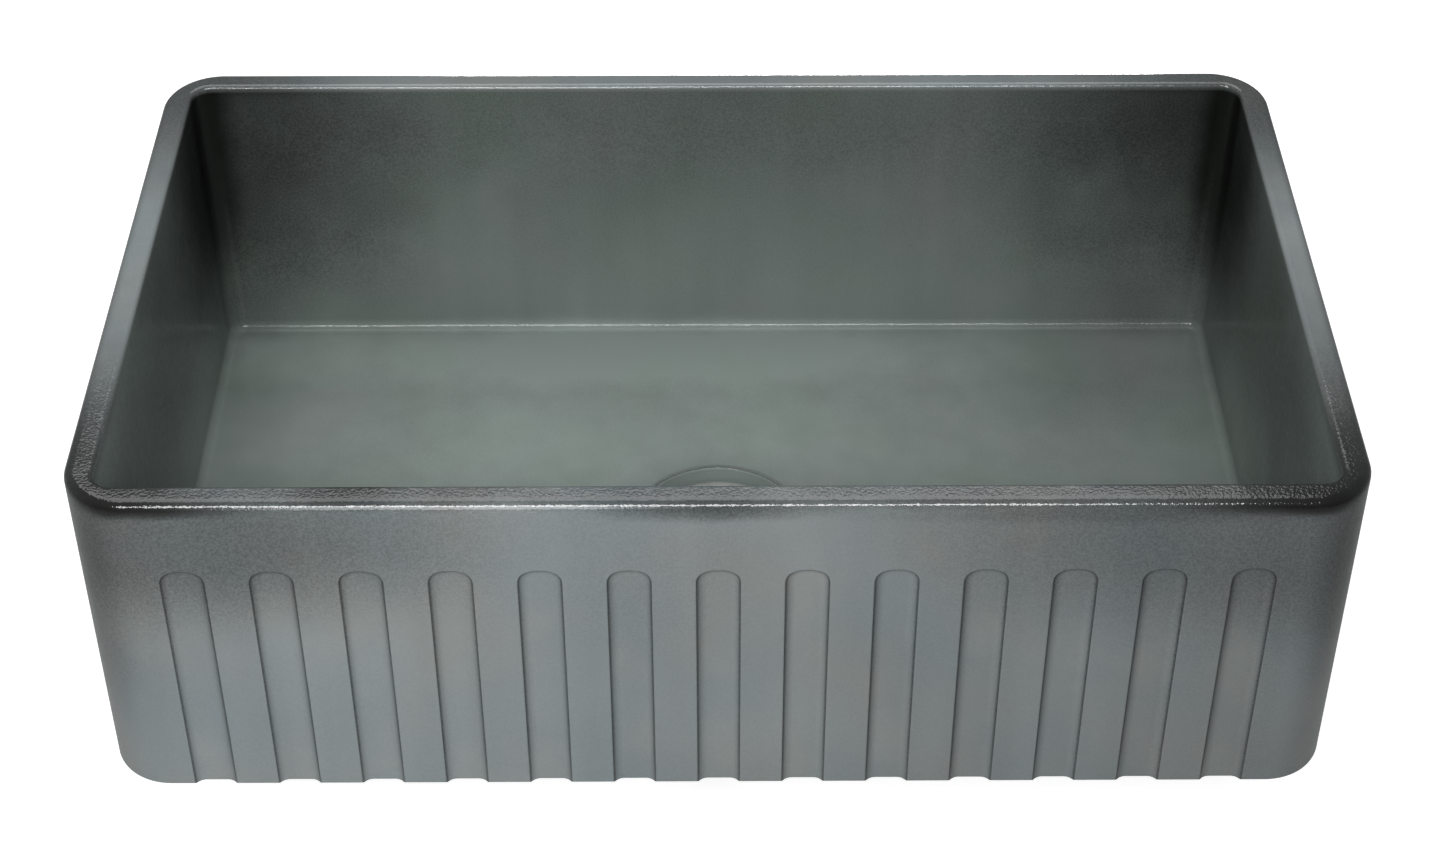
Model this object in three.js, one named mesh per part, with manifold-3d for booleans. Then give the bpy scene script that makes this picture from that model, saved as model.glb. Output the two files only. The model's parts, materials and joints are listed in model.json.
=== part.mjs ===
// Farmhouse apron front sink with its basket strainer waste, in millimetres, +Z up.
// X runs along the length, -Y faces the room, and the origin is the centre of the basin's underside.
import * as THREE from 'three';
import { mergeVertices } from 'three/addons/utils/BufferGeometryUtils.js';
import Module from 'manifold-3d';

const wasm = await Module();
wasm.setup();

// ---- Basin: one fireclay casting of the 33 by 20 by 10 inch class ----
const LENGTH = 838;
const DEPTH = 502;
const HEIGHT = 256;
const RIM_WIDTH = 20;
const CORNER_RADIUS = 43;
const BOWL_CORNER_RADIUS = 14;
const RIM_OUTER_ROUND = 6.8;
const RIM_INNER_ROUND = 3.5;
const BASE_ROUND = 2;
const WALL_DRAFT = 3.3;
const FLOOR_Z = 25.6;
const FLOOR_FILLET = 8;
const FLOOR_FALL = 2;

// ---- Drain opening in the floor ----
const DRAIN_Y = -8;
const RECESS_RADIUS = 61.5;
const RECESS_LIP = 3;
const RECESS_FOOT_RADIUS = 58.5;
const RECESS_CHAMFER_WIDTH = 1.2;
const RECESS_CHAMFER_HEIGHT = 2.6;
const SEAT_Z = 10;
const HOLE_RADIUS = 45;
const HOLE_CHAMFER = 0.8;
const GASKET_SEAT_RADIUS = 57;
const GASKET_SEAT_DEPTH = 0.5;

// ---- Flutes in the apron ----
const FLUTE_COUNT = 13;
const FLUTE_PITCH = 57.6;
const FLUTE_HALF_WIDTH = 15.4;
const FLUTE_WALL = 5;
const FLUTE_DEPTH = 4.6;
const FLUTE_TOP_Z = 200;
const FLUTE_SPRING_Z = 187;
const FLUTE_TOP_POWER = 2.6;
const FLUTE_OVERCUT = 3;

// ---- Strainer body ----
const GAP = 0.3;
const SHEET = 1.2;
const FLANGE_RADIUS = 57;
const FLANGE_THICKNESS = 2;
const FLANGE_LIP_ROUND = 3;
const NECK_RADIUS = 42;
const CUP_FLOOR_Z = -40;
const CUP_CORNER_ROUND = 7;
const NIPPLE_FLANGE_RADIUS = 29;
const NIPPLE_FLANGE_THICKNESS = 1.7;
const NIPPLE_FLANGE_CHAMFER = 0.6;
const NIPPLE_RADIUS = 23.6;
const NIPPLE_BORE = 21;
const NIPPLE_MOUTH_CHAMFER = 1;
const NIPPLE_END_Z = -60;
const CROSS_TOP_Z = -49;
const CROSS_THICKNESS = 2;
const CROSS_BAR_WIDTH = 4;
const CROSS_RIM_WIDTH = 1.5;
const CROSS_HUB_RADIUS = 8;
const CROSS_HUB_BORE = 5;

// ---- Clamping stack below the clay ----
const SEAL_THICKNESS = 1.3;
const SEAL_INNER_RADIUS = 46.5;
const SEAL_OUTER_RADIUS = 55;
const GASKET_THICKNESS = 3;
const GASKET_RADIUS = 55;
const FIBRE_THICKNESS = 1;
const FIBRE_RADIUS = 54;
const LOCKNUT_BODY_RADIUS = 48;
const LOCKNUT_FLANGE_RADIUS = 54;
const LOCKNUT_FLANGE_THICKNESS = 2.4;
const LOCKNUT_HEIGHT = 11;
const LOCKNUT_LUGS = 6;
const LUG_WIDTH = 9;
const LUG_REACH = 5;
const LUG_ROOT = 2;

// ---- Tailpiece and its coupling ----
const TAIL_RADIUS = 19.05;
const TAIL_WALL = 1.2;
const TAIL_FLANGE_RADIUS = 23.3;
const TAIL_FLANGE_THICKNESS = 1.5;
const TAIL_WASHER_THICKNESS = 2.5;
const TAIL_END_Z = -170;
const COUPLING_RADIUS = 30;
const COUPLING_SIDES = 8;
const COUPLING_TOP_Z = -45;
const COUPLING_LIP = 2.4;
const COUPLING_COLLAR_RADIUS = 28.5;
const COUPLING_COLLAR_HEIGHT = 2;

// ---- Lift-out basket ----
const BASKET_TOP_Z = -5;
const BASKET_TOP_RADIUS = 37;
const BASKET_LIP = 1.6;
const BASKET_BASE_RADIUS = 30;
const BASKET_CORNER = 2;
const BASKET_SHEET = 1;
const SIDE_HOLES = 16;
const BASE_HOLES = 12;
const BASE_HOLE_CIRCLE = 20.5;
const SIEVE_HOLE_RADIUS = 2.6;
const STOPPER_RADIUS = 26;
const STOPPER_THICKNESS = 5;
const STOPPER_CHAMFER = 1.5;
const STOPPER_TAPER = 1;
const POST_RADIUS = 3;
const POST_SHOULDER_RADIUS = 4.2;
const POST_FOOT_RADIUS = 2.2;
const POST_FOOT_DROP = 2;
const POST_FOOT_CHAMFER = 0.8;
const POST_END_Z = -57;
const POST_TOP_Z = -9;
const KNOB_RADIUS = 9;
const KNOB_TOP_Z = 3;
const KNOB_HEAD = 5;
const KNOB_FLARE = 3;
const KNOB_EDGE_ROUND = 1.5;
const KNOB_CROWN_RADIUS = 4;
const KNOB_NECK_WALL = 1.3;
const KNOB_SKIRT = 4;
const BACKING_RADIUS = 14;
const BACKING_THICKNESS = 1;
const POST_NUT_RADIUS = 6;
const POST_NUT_HEIGHT = 3;
const POST_NUT_SIDES = 6;
const CLIP_RADIUS = 4.6;
const CLIP_WIDTH = 3;
const CLIP_THICKNESS = 0.5;
const CLIP_DROP = 3;
const CLIP_WAIST_DROP = 1;
const CLIP_BOW_DROP = 2.4;

// ---- Facet counts ----
const CORNER_STEPS = 10;
const ROUND_STEPS = 4;
const FLUTE_TOP_STEPS = 12;
const FLUTE_WALL_STEPS = 4;
const BIG_SIDES = 44;
const SMALL_SIDES = 24;
const SIEVE_HOLE_SIDES = 8;

// How far a cutter runs past what it cuts.
const OVERCUT = 1;

const QUARTER_TURN = Math.PI / 2;

// ---------------------------------------------------------------- solids

// Keeps only positions, merges shared vertices and turns the faces outwards.
function closedSolid(geometry) {
  geometry.deleteAttribute('normal');
  geometry.deleteAttribute('uv');
  geometry.clearGroups();
  const solid = mergeVertices(geometry, 1e-4);
  dropEmptyFaces(solid);
  if (signedVolume(solid) < 0) {
    flipFaces(solid);
  }
  return solid;
}

function dropEmptyFaces(solid) {
  const index = solid.index.array;
  const kept = [];
  for (let i = 0; i < index.length; i += 3) {
    const [a, b, c] = [index[i], index[i + 1], index[i + 2]];
    if (a !== b && b !== c && c !== a) {
      kept.push(a, b, c);
    }
  }
  solid.setIndex(kept);
}

function signedVolume(solid) {
  const position = solid.attributes.position;
  const index = solid.index.array;
  const [a, b, c] = [new THREE.Vector3(), new THREE.Vector3(), new THREE.Vector3()];
  let volume = 0;
  for (let i = 0; i < index.length; i += 3) {
    a.fromBufferAttribute(position, index[i]);
    b.fromBufferAttribute(position, index[i + 1]);
    c.fromBufferAttribute(position, index[i + 2]);
    volume += a.dot(b.cross(c)) / 6;
  }
  return volume;
}

function flipFaces(solid) {
  const index = solid.index.array;
  for (let i = 0; i < index.length; i += 3) {
    [index[i + 1], index[i + 2]] = [index[i + 2], index[i + 1]];
  }
}

function toManifold(solid) {
  return new wasm.Manifold(new wasm.Mesh({
    numProp: 3,
    vertProperties: new Float32Array(solid.attributes.position.array),
    triVerts: new Uint32Array(solid.index.array),
  }));
}

function fromManifold(manifold) {
  const mesh = manifold.getMesh();
  const solid = new THREE.BufferGeometry();
  solid.setAttribute('position', new THREE.BufferAttribute(new Float32Array(mesh.vertProperties), 3));
  solid.setIndex(new THREE.BufferAttribute(new Uint32Array(mesh.triVerts), 1));
  return solid;
}

function cut(solid, cutters) {
  let result = toManifold(solid);
  for (const cutter of cutters) {
    result = result.subtract(toManifold(cutter));
  }
  return fromManifold(result);
}

function join(solids) {
  let result = toManifold(solids[0]);
  for (const solid of solids.slice(1)) {
    result = result.add(toManifold(solid));
  }
  return fromManifold(result);
}

// Joins loops of equal length into one skin. It closes on itself, or is capped at both ends.
function loft(loops, closesOnItself) {
  const count = loops[0].length;
  const positions = loops.flat().flatMap((point) => [point.x, point.y, point.z]);
  const index = [];
  const spans = closesOnItself ? loops.length : loops.length - 1;
  for (let ring = 0; ring < spans; ring += 1) {
    const low = ring * count;
    const high = ((ring + 1) % loops.length) * count;
    for (let i = 0; i < count; i += 1) {
      const next = (i + 1) % count;
      index.push(low + i, low + next, high + next);
      index.push(low + i, high + next, high + i);
    }
  }
  if (!closesOnItself) {
    const last = (loops.length - 1) * count;
    for (let i = 1; i < count - 1; i += 1) {
      index.push(0, i + 1, i);
      index.push(last, last + i, last + i + 1);
    }
  }
  const geometry = new THREE.BufferGeometry();
  geometry.setAttribute('position', new THREE.Float32BufferAttribute(positions, 3));
  geometry.setIndex(index);
  return closedSolid(geometry);
}

// A solid turned about the drain's axis from an outline of [radius, z] corners. The outline starts
// and ends on the axis, or else is closed here into a ring's.
function turned(outline, sides) {
  const onAxis = outline[0][0] === 0;
  const closed = onAxis ? outline : [...outline, outline[0]];
  const points = closed.map(([radius, z]) => new THREE.Vector2(radius, z));
  return closedSolid(new THREE.LatheGeometry(points, sides).rotateX(QUARTER_TURN));
}

// A plain tube or washer.
function washer(innerRadius, outerRadius, lowZ, highZ, sides) {
  return turned([
    [innerRadius, lowZ],
    [outerRadius, lowZ],
    [outerRadius, highZ],
    [innerRadius, highZ],
  ], sides);
}

function block(width, depth, lowZ, highZ) {
  const box = new THREE.BoxGeometry(width, depth, highZ - lowZ);
  box.translate(0, 0, (lowZ + highZ) / 2);
  return closedSolid(box);
}

function rod(radius, lowZ, highZ, sides) {
  const cylinder = new THREE.CylinderGeometry(radius, radius, highZ - lowZ, sides);
  cylinder.rotateX(QUARTER_TURN);
  cylinder.translate(0, 0, (lowZ + highZ) / 2);
  return closedSolid(cylinder);
}

// Quarter arc as [across, up] fractions of its radius, from [0, 0] to [1, 1].
function quarterArc(steps) {
  const arc = [];
  for (let step = 0; step <= steps; step += 1) {
    const angle = (QUARTER_TURN * step) / steps;
    arc.push([1 - Math.cos(angle), Math.sin(angle)]);
  }
  return arc;
}

// Arc in a turned outline about [radius, z], between two angles counted in quarter turns.
function outlineArc(radius, z, size, from, to) {
  const points = [];
  for (let step = 0; step <= ROUND_STEPS; step += 1) {
    const angle = QUARTER_TURN * (from + ((to - from) * step) / ROUND_STEPS);
    points.push([radius + size * Math.cos(angle), z + size * Math.sin(angle)]);
  }
  return points;
}

// ---------------------------------------------------------------- basin

// Plan loop of the basin, drawn in from its outside by an inset, at one height.
// Loops in the bowl turn tighter corners than loops on the outside.
function planLoop(inset, z) {
  const inBowl = inset > RIM_WIDTH / 2;
  const cornerInset = inBowl ? BOWL_CORNER_RADIUS + RIM_WIDTH : CORNER_RADIUS;
  const halfLength = LENGTH / 2 - cornerInset;
  const halfDepth = DEPTH / 2 - cornerInset;
  const radius = cornerInset - inset;
  const loop = [];
  for (let corner = 0; corner < 4; corner += 1) {
    const signX = corner === 0 || corner === 3 ? 1 : -1;
    const signY = corner < 2 ? 1 : -1;
    for (let step = 0; step <= CORNER_STEPS; step += 1) {
      const angle = QUARTER_TURN * (corner + step / CORNER_STEPS);
      const x = signX * halfLength + radius * Math.cos(angle);
      const y = signY * halfDepth + radius * Math.sin(angle);
      loop.push(new THREE.Vector3(x, y, z));
    }
  }
  return loop;
}

// Round loop about the drain with as many points as the plan loop.
function drainLoop(radius, z) {
  const perCorner = CORNER_STEPS + 1;
  const loop = [];
  for (let corner = 0; corner < 4; corner += 1) {
    for (let step = 0; step < perCorner; step += 1) {
      const angle = QUARTER_TURN * (corner + (step + 0.5) / perCorner);
      loop.push(new THREE.Vector3(radius * Math.cos(angle), DRAIN_Y + radius * Math.sin(angle), z));
    }
  }
  return loop;
}

function basinLoops() {
  const arc = quarterArc(ROUND_STEPS);
  const back = [...arc].reverse();
  const wallTop = HEIGHT - RIM_INNER_ROUND;
  const wallFoot = RIM_WIDTH + WALL_DRAFT;
  const lipZ = FLOOR_Z - FLOOR_FALL;
  const loops = [];
  for (const [across, up] of arc) {
    loops.push(planLoop(BASE_ROUND * (1 - up), BASE_ROUND * across));
  }
  for (const [across, up] of arc) {
    loops.push(planLoop(RIM_OUTER_ROUND * across, HEIGHT - RIM_OUTER_ROUND * (1 - up)));
  }
  for (const [across, up] of back) {
    loops.push(planLoop(RIM_WIDTH - RIM_INNER_ROUND * across, wallTop + RIM_INNER_ROUND * up));
  }
  for (const [across, up] of arc) {
    loops.push(planLoop(wallFoot + FLOOR_FILLET * across, FLOOR_Z + FLOOR_FILLET * (1 - up)));
  }
  for (const [across, up] of back) {
    loops.push(drainLoop(RECESS_RADIUS + RECESS_LIP * across, lipZ - RECESS_LIP * (1 - up)));
  }
  loops.push(drainLoop(RECESS_FOOT_RADIUS + RECESS_CHAMFER_WIDTH, SEAT_Z + RECESS_CHAMFER_HEIGHT));
  loops.push(drainLoop(RECESS_FOOT_RADIUS, SEAT_Z));
  loops.push(drainLoop(HOLE_RADIUS + HOLE_CHAMFER, SEAT_Z));
  loops.push(drainLoop(HOLE_RADIUS, SEAT_Z - HOLE_CHAMFER));
  loops.push(drainLoop(HOLE_RADIUS, GASKET_SEAT_DEPTH + HOLE_CHAMFER));
  loops.push(drainLoop(HOLE_RADIUS + HOLE_CHAMFER, GASKET_SEAT_DEPTH));
  loops.push(drainLoop(GASKET_SEAT_RADIUS, GASKET_SEAT_DEPTH));
  loops.push(drainLoop(GASKET_SEAT_RADIUS, 0));
  return loops;
}

// Outline of a flute in the apron's plane: straight sides under a flattened round top.
function fluteOutline(centreX, y, inset) {
  const halfWidth = FLUTE_HALF_WIDTH - inset;
  const rise = FLUTE_TOP_Z - FLUTE_SPRING_Z - inset;
  const outline = [new THREE.Vector3(centreX + halfWidth, y, -FLUTE_OVERCUT)];
  for (let step = 0; step <= FLUTE_TOP_STEPS; step += 1) {
    const angle = (Math.PI * step) / FLUTE_TOP_STEPS;
    const across = Math.abs(Math.cos(angle)) ** (2 / FLUTE_TOP_POWER);
    const up = Math.sin(angle) ** (2 / FLUTE_TOP_POWER);
    const side = step * 2 <= FLUTE_TOP_STEPS ? 1 : -1;
    outline.push(new THREE.Vector3(centreX + side * halfWidth * across, y, FLUTE_SPRING_Z + rise * up));
  }
  outline.push(new THREE.Vector3(centreX - halfWidth, y, -FLUTE_OVERCUT));
  return outline;
}

// The flute's wall leaves the apron and meets the flute's floor in soft curves.
function fluteCutter(centreX) {
  const face = -DEPTH / 2;
  const loops = [fluteOutline(centreX, face - FLUTE_OVERCUT, 0)];
  for (let step = 0; step <= FLUTE_WALL_STEPS; step += 1) {
    const share = step / FLUTE_WALL_STEPS;
    const depth = FLUTE_DEPTH * share * share * (3 - 2 * share);
    loops.push(fluteOutline(centreX, face + depth, FLUTE_WALL * share));
  }
  return loft(loops, false);
}

function basin() {
  const flutes = [];
  for (let i = 0; i < FLUTE_COUNT; i += 1) {
    flutes.push(fluteCutter((i - (FLUTE_COUNT - 1) / 2) * FLUTE_PITCH));
  }
  return cut(loft(basinLoops(), true), flutes);
}

// ---------------------------------------------------------------- strainer and its clamp

const flangeUnder = SEAT_Z + SEAL_THICKNESS + 2 * GAP;

// Drawn stainless cup with a rolled flange and a hole in its floor for the outlet.
function strainerCup() {
  const inner = NECK_RADIUS - SHEET;
  const floorHole = NIPPLE_RADIUS + GAP;
  const roll = FLANGE_THICKNESS / 2;
  const lipZ = flangeUnder + FLANGE_THICKNESS - FLANGE_LIP_ROUND;
  const cornerRadius = inner - CUP_CORNER_ROUND;
  const cornerZ = CUP_FLOOR_Z + CUP_CORNER_ROUND;
  return turned([
    [NECK_RADIUS, flangeUnder],
    ...outlineArc(FLANGE_RADIUS - roll, flangeUnder + roll, roll, -1, 1),
    ...outlineArc(inner + FLANGE_LIP_ROUND, lipZ, FLANGE_LIP_ROUND, 1, 2),
    ...outlineArc(cornerRadius, cornerZ, CUP_CORNER_ROUND, 0, -1),
    [floorHole, CUP_FLOOR_Z],
    [floorHole, CUP_FLOOR_Z - SHEET],
    ...outlineArc(cornerRadius, cornerZ, CUP_CORNER_ROUND + SHEET, -1, 0),
  ], BIG_SIDES);
}

const nippleSeatZ = CUP_FLOOR_Z + GAP + NIPPLE_FLANGE_THICKNESS;

// Brass outlet let into the cup's floor: its flange is the stopper's seat.
function outletNipple() {
  return turned([
    [NIPPLE_BORE, NIPPLE_END_Z],
    [NIPPLE_RADIUS, NIPPLE_END_Z],
    [NIPPLE_RADIUS, CUP_FLOOR_Z + GAP],
    [NIPPLE_FLANGE_RADIUS, CUP_FLOOR_Z + GAP],
    [NIPPLE_FLANGE_RADIUS - NIPPLE_FLANGE_CHAMFER, nippleSeatZ],
    [NIPPLE_BORE + NIPPLE_MOUTH_CHAMFER, nippleSeatZ],
    [NIPPLE_BORE, nippleSeatZ - NIPPLE_MOUTH_CHAMFER],
  ], BIG_SIDES);
}

// Stamped cross pressed into the outlet: its hub takes the foot of the basket's post.
function outletCross() {
  const rimRadius = NIPPLE_BORE - GAP;
  const low = CROSS_TOP_Z - CROSS_THICKNESS;
  const rim = washer(rimRadius - CROSS_RIM_WIDTH, rimRadius, low, CROSS_TOP_Z, BIG_SIDES);
  const barLength = 2 * rimRadius - CROSS_RIM_WIDTH;
  const bar = block(barLength, CROSS_BAR_WIDTH, low, CROSS_TOP_Z);
  const otherBar = block(CROSS_BAR_WIDTH, barLength, low, CROSS_TOP_Z);
  const hub = rod(CROSS_HUB_RADIUS, low, CROSS_TOP_Z, SMALL_SIDES);
  const bore = rod(CROSS_HUB_BORE, low - OVERCUT, CROSS_TOP_Z + OVERCUT, SMALL_SIDES);
  return cut(join([rim, bar, otherBar, hub]), [bore]);
}

function flangeSeal() {
  const low = SEAT_Z + GAP;
  return washer(SEAL_INNER_RADIUS, SEAL_OUTER_RADIUS, low, low + SEAL_THICKNESS, BIG_SIDES);
}

// The gasket bears on a shallow ring that is ground flat in the underside.
const gasketTop = GASKET_SEAT_DEPTH - GAP;
const fibreTop = gasketTop - GASKET_THICKNESS - GAP;
const locknutTop = fibreTop - FIBRE_THICKNESS - GAP;

function rubberGasket() {
  return washer(NECK_RADIUS + GAP, GASKET_RADIUS, gasketTop - GASKET_THICKNESS, gasketTop, BIG_SIDES);
}

function frictionWasher() {
  return washer(NECK_RADIUS + GAP, FIBRE_RADIUS, fibreTop - FIBRE_THICKNESS, fibreTop, BIG_SIDES);
}

// A thin-walled nut with a broad bearing flange and lugs for the wrench.
function locknut() {
  const bore = NECK_RADIUS + GAP;
  const low = locknutTop - LOCKNUT_HEIGHT;
  const flangeLow = locknutTop - LOCKNUT_FLANGE_THICKNESS;
  const ring = turned([
    [bore, low],
    [LOCKNUT_BODY_RADIUS, low],
    [LOCKNUT_BODY_RADIUS, flangeLow],
    [LOCKNUT_FLANGE_RADIUS, flangeLow],
    [LOCKNUT_FLANGE_RADIUS, locknutTop],
    [bore, locknutTop],
  ], BIG_SIDES);
  const lugs = [];
  for (let i = 0; i < LOCKNUT_LUGS; i += 1) {
    const lug = block(LUG_ROOT + LUG_REACH, LUG_WIDTH, low, flangeLow + OVERCUT);
    lug.translate(LOCKNUT_BODY_RADIUS + (LUG_REACH - LUG_ROOT) / 2, 0, 0);
    lug.rotateZ((i * 2 * Math.PI) / LOCKNUT_LUGS);
    lugs.push(lug);
  }
  return join([ring, ...lugs]);
}

// ---------------------------------------------------------------- tailpiece

const tailWasherTop = NIPPLE_END_Z - GAP;
const tailFlangeTop = tailWasherTop - TAIL_WASHER_THICKNESS - GAP;
const couplingLipTop = tailFlangeTop - TAIL_FLANGE_THICKNESS - GAP;

function tailWasher() {
  const low = tailWasherTop - TAIL_WASHER_THICKNESS;
  return washer(TAIL_RADIUS - TAIL_WALL, TAIL_FLANGE_RADIUS, low, tailWasherTop, BIG_SIDES);
}

function tailpiece() {
  const bore = TAIL_RADIUS - TAIL_WALL;
  return turned([
    [bore, TAIL_END_Z],
    [TAIL_RADIUS, TAIL_END_Z],
    [TAIL_RADIUS, tailFlangeTop - TAIL_FLANGE_THICKNESS],
    [TAIL_FLANGE_RADIUS, tailFlangeTop - TAIL_FLANGE_THICKNESS],
    [TAIL_FLANGE_RADIUS, tailFlangeTop],
    [bore, tailFlangeTop],
  ], BIG_SIDES);
}

function couplingNut() {
  const low = couplingLipTop - COUPLING_LIP;
  const body = rod(COUPLING_RADIUS, low, COUPLING_TOP_Z, COUPLING_SIDES);
  const collarTop = COUPLING_TOP_Z + COUPLING_COLLAR_HEIGHT;
  const collar = rod(COUPLING_COLLAR_RADIUS, COUPLING_TOP_Z - OVERCUT, collarTop, BIG_SIDES);
  const thread = rod(NIPPLE_RADIUS + GAP, couplingLipTop, collarTop + OVERCUT, BIG_SIDES);
  const mouth = rod(TAIL_RADIUS + GAP, low - OVERCUT, couplingLipTop + OVERCUT, BIG_SIDES);
  return cut(join([body, collar]), [thread, mouth]);
}

// ---------------------------------------------------------------- basket

const stopperLow = nippleSeatZ + GAP;
const basketFloorLow = stopperLow + STOPPER_THICKNESS + GAP;
const basketFloorTop = basketFloorLow + BASKET_SHEET;
const postBore = POST_RADIUS + GAP;

// Pressed sieve: a tapered cup with a rolled-out lip, drilled round its side and its base.
function basketCup() {
  const cup = turned([
    [postBore, basketFloorLow],
    [BASKET_BASE_RADIUS - BASKET_CORNER, basketFloorLow],
    [BASKET_BASE_RADIUS, basketFloorLow + BASKET_CORNER],
    [BASKET_TOP_RADIUS, BASKET_TOP_Z - BASKET_SHEET],
    [BASKET_TOP_RADIUS + BASKET_LIP, BASKET_TOP_Z - BASKET_SHEET],
    [BASKET_TOP_RADIUS + BASKET_LIP, BASKET_TOP_Z],
    [BASKET_TOP_RADIUS - BASKET_SHEET, BASKET_TOP_Z],
    [BASKET_BASE_RADIUS - BASKET_SHEET, basketFloorLow + BASKET_CORNER],
    [BASKET_BASE_RADIUS - BASKET_CORNER, basketFloorTop],
    [postBore, basketFloorTop],
  ], BIG_SIDES);
  const holes = [];
  const drillLow = basketFloorLow - OVERCUT;
  const drillTop = basketFloorTop + OVERCUT;
  for (let i = 0; i < BASE_HOLES; i += 1) {
    const hole = rod(SIEVE_HOLE_RADIUS, drillLow, drillTop, SIEVE_HOLE_SIDES);
    hole.translate(BASE_HOLE_CIRCLE, 0, 0);
    hole.rotateZ((i * 2 * Math.PI) / BASE_HOLES);
    holes.push(hole);
  }
  const middleZ = (basketFloorTop + BASKET_TOP_Z) / 2;
  const drillStart = BASKET_BASE_RADIUS - BASKET_SHEET - OVERCUT;
  for (let i = 0; i < SIDE_HOLES; i += 1) {
    const hole = rod(SIEVE_HOLE_RADIUS, drillStart, BASKET_TOP_RADIUS + OVERCUT, SIEVE_HOLE_SIDES);
    hole.rotateY(QUARTER_TURN);
    hole.translate(0, 0, middleZ);
    hole.rotateZ(((i + 0.5) * 2 * Math.PI) / SIDE_HOLES);
    holes.push(hole);
  }
  return cut(cup, holes);
}

function basketStopper() {
  return turned([
    [postBore, stopperLow],
    [STOPPER_RADIUS - STOPPER_CHAMFER, stopperLow],
    [STOPPER_RADIUS, stopperLow + STOPPER_CHAMFER],
    [STOPPER_RADIUS - STOPPER_TAPER, stopperLow + STOPPER_THICKNESS],
    [postBore, stopperLow + STOPPER_THICKNESS],
  ], BIG_SIDES);
}

const backingTop = stopperLow - GAP;
const postNutTop = backingTop - BACKING_THICKNESS - GAP;
const postNutLow = postNutTop - POST_NUT_HEIGHT;

function backingWasher() {
  return washer(postBore, BACKING_RADIUS, backingTop - BACKING_THICKNESS, backingTop, SMALL_SIDES);
}

function postNut() {
  const body = rod(POST_NUT_RADIUS, postNutLow, postNutTop, POST_NUT_SIDES);
  return cut(body, [rod(postBore, postNutLow - OVERCUT, postNutTop + OVERCUT, SMALL_SIDES)]);
}

// The post is stepped: a shoulder over the cup's floor, and a thinner foot for the spring clip.
function basketPost() {
  const footTop = postNutLow - POST_FOOT_DROP;
  const shoulder = basketFloorTop + GAP;
  return turned([
    [0, POST_END_Z],
    [POST_FOOT_RADIUS, POST_END_Z],
    [POST_FOOT_RADIUS, footTop],
    [POST_RADIUS, footTop + POST_FOOT_CHAMFER],
    [POST_RADIUS, shoulder],
    [POST_SHOULDER_RADIUS, shoulder],
    [POST_SHOULDER_RADIUS, POST_TOP_Z],
    [0, POST_TOP_Z],
  ], SMALL_SIDES);
}

// A turned knob with a socket for the post under its head.
function basketKnob() {
  const socket = POST_SHOULDER_RADIUS + GAP;
  const neck = socket + KNOB_NECK_WALL;
  const skirtZ = POST_TOP_Z - KNOB_SKIRT;
  const headLow = KNOB_TOP_Z - KNOB_HEAD;
  return turned([
    [0, POST_TOP_Z + GAP],
    [socket, POST_TOP_Z + GAP],
    [socket, skirtZ],
    [neck, skirtZ],
    [neck, headLow - KNOB_FLARE],
    ...outlineArc(KNOB_RADIUS - KNOB_EDGE_ROUND, headLow + KNOB_EDGE_ROUND, KNOB_EDGE_ROUND, -1, 1),
    [KNOB_CROWN_RADIUS, KNOB_TOP_Z],
    [0, KNOB_TOP_Z],
  ], SMALL_SIDES);
}

// A bent strip: it hugs the post's foot on both sides and bows out below the cross.
function springClip() {
  const grip = POST_FOOT_RADIUS + GAP;
  const top = postNutLow - CLIP_DROP;
  const under = POST_END_Z - GAP;
  const waistZ = CROSS_TOP_Z - CLIP_WAIST_DROP;
  const bowZ = CROSS_TOP_Z - CROSS_THICKNESS - CLIP_BOW_DROP;
  const outside = [
    [grip + CLIP_THICKNESS, top],
    [grip + CLIP_THICKNESS, waistZ],
    [CLIP_RADIUS, bowZ],
    [grip + CLIP_THICKNESS, under - CLIP_THICKNESS],
  ];
  const inside = [
    [grip, under],
    [CLIP_RADIUS - CLIP_THICKNESS, bowZ],
    [grip, waistZ],
    [grip, top],
  ];
  const mirrored = (points) => points.map(([x, z]) => [-x, z]).reverse();
  const outline = [...outside, ...mirrored(outside), ...mirrored(inside), ...inside];
  const shape = new THREE.Shape(outline.map(([x, z]) => new THREE.Vector2(x, z)));
  const strip = new THREE.ExtrudeGeometry(shape, { depth: CLIP_WIDTH, bevelEnabled: false });
  strip.translate(0, 0, -CLIP_WIDTH / 2);
  strip.rotateX(QUARTER_TURN);
  return closedSolid(strip);
}

// ---------------------------------------------------------------- assembly

const glaze = { color: '#6f7673', roughness: 0.5, metalness: 0 };
const steel = { color: '#b9bcbd', roughness: 0.28, metalness: 1 };
const chrome = { color: '#d0d3d5', roughness: 0.12, metalness: 1 };
const zinc = { color: '#9a9c9a', roughness: 0.45, metalness: 1 };
const brass = { color: '#b79a5b', roughness: 0.35, metalness: 1 };
const rubber = { color: '#1d1e1f', roughness: 0.8, metalness: 0 };
const putty = { color: '#d9d6cc', roughness: 0.9, metalness: 0 };
const fibre = { color: '#a98f6a', roughness: 0.9, metalness: 0 };
const polymer = { color: '#e6e6e2', roughness: 0.5, metalness: 0 };

const sink = new THREE.Group();
const drain = new THREE.Group();
drain.position.set(0, DRAIN_Y, 0);
sink.add(drain);

function addPiece(parent, name, geometry, finish) {
  const mesh = new THREE.Mesh(geometry, new THREE.MeshStandardMaterial(finish));
  mesh.name = name;
  parent.add(mesh);
}

addPiece(sink, 'basin', basin(), glaze);

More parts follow.
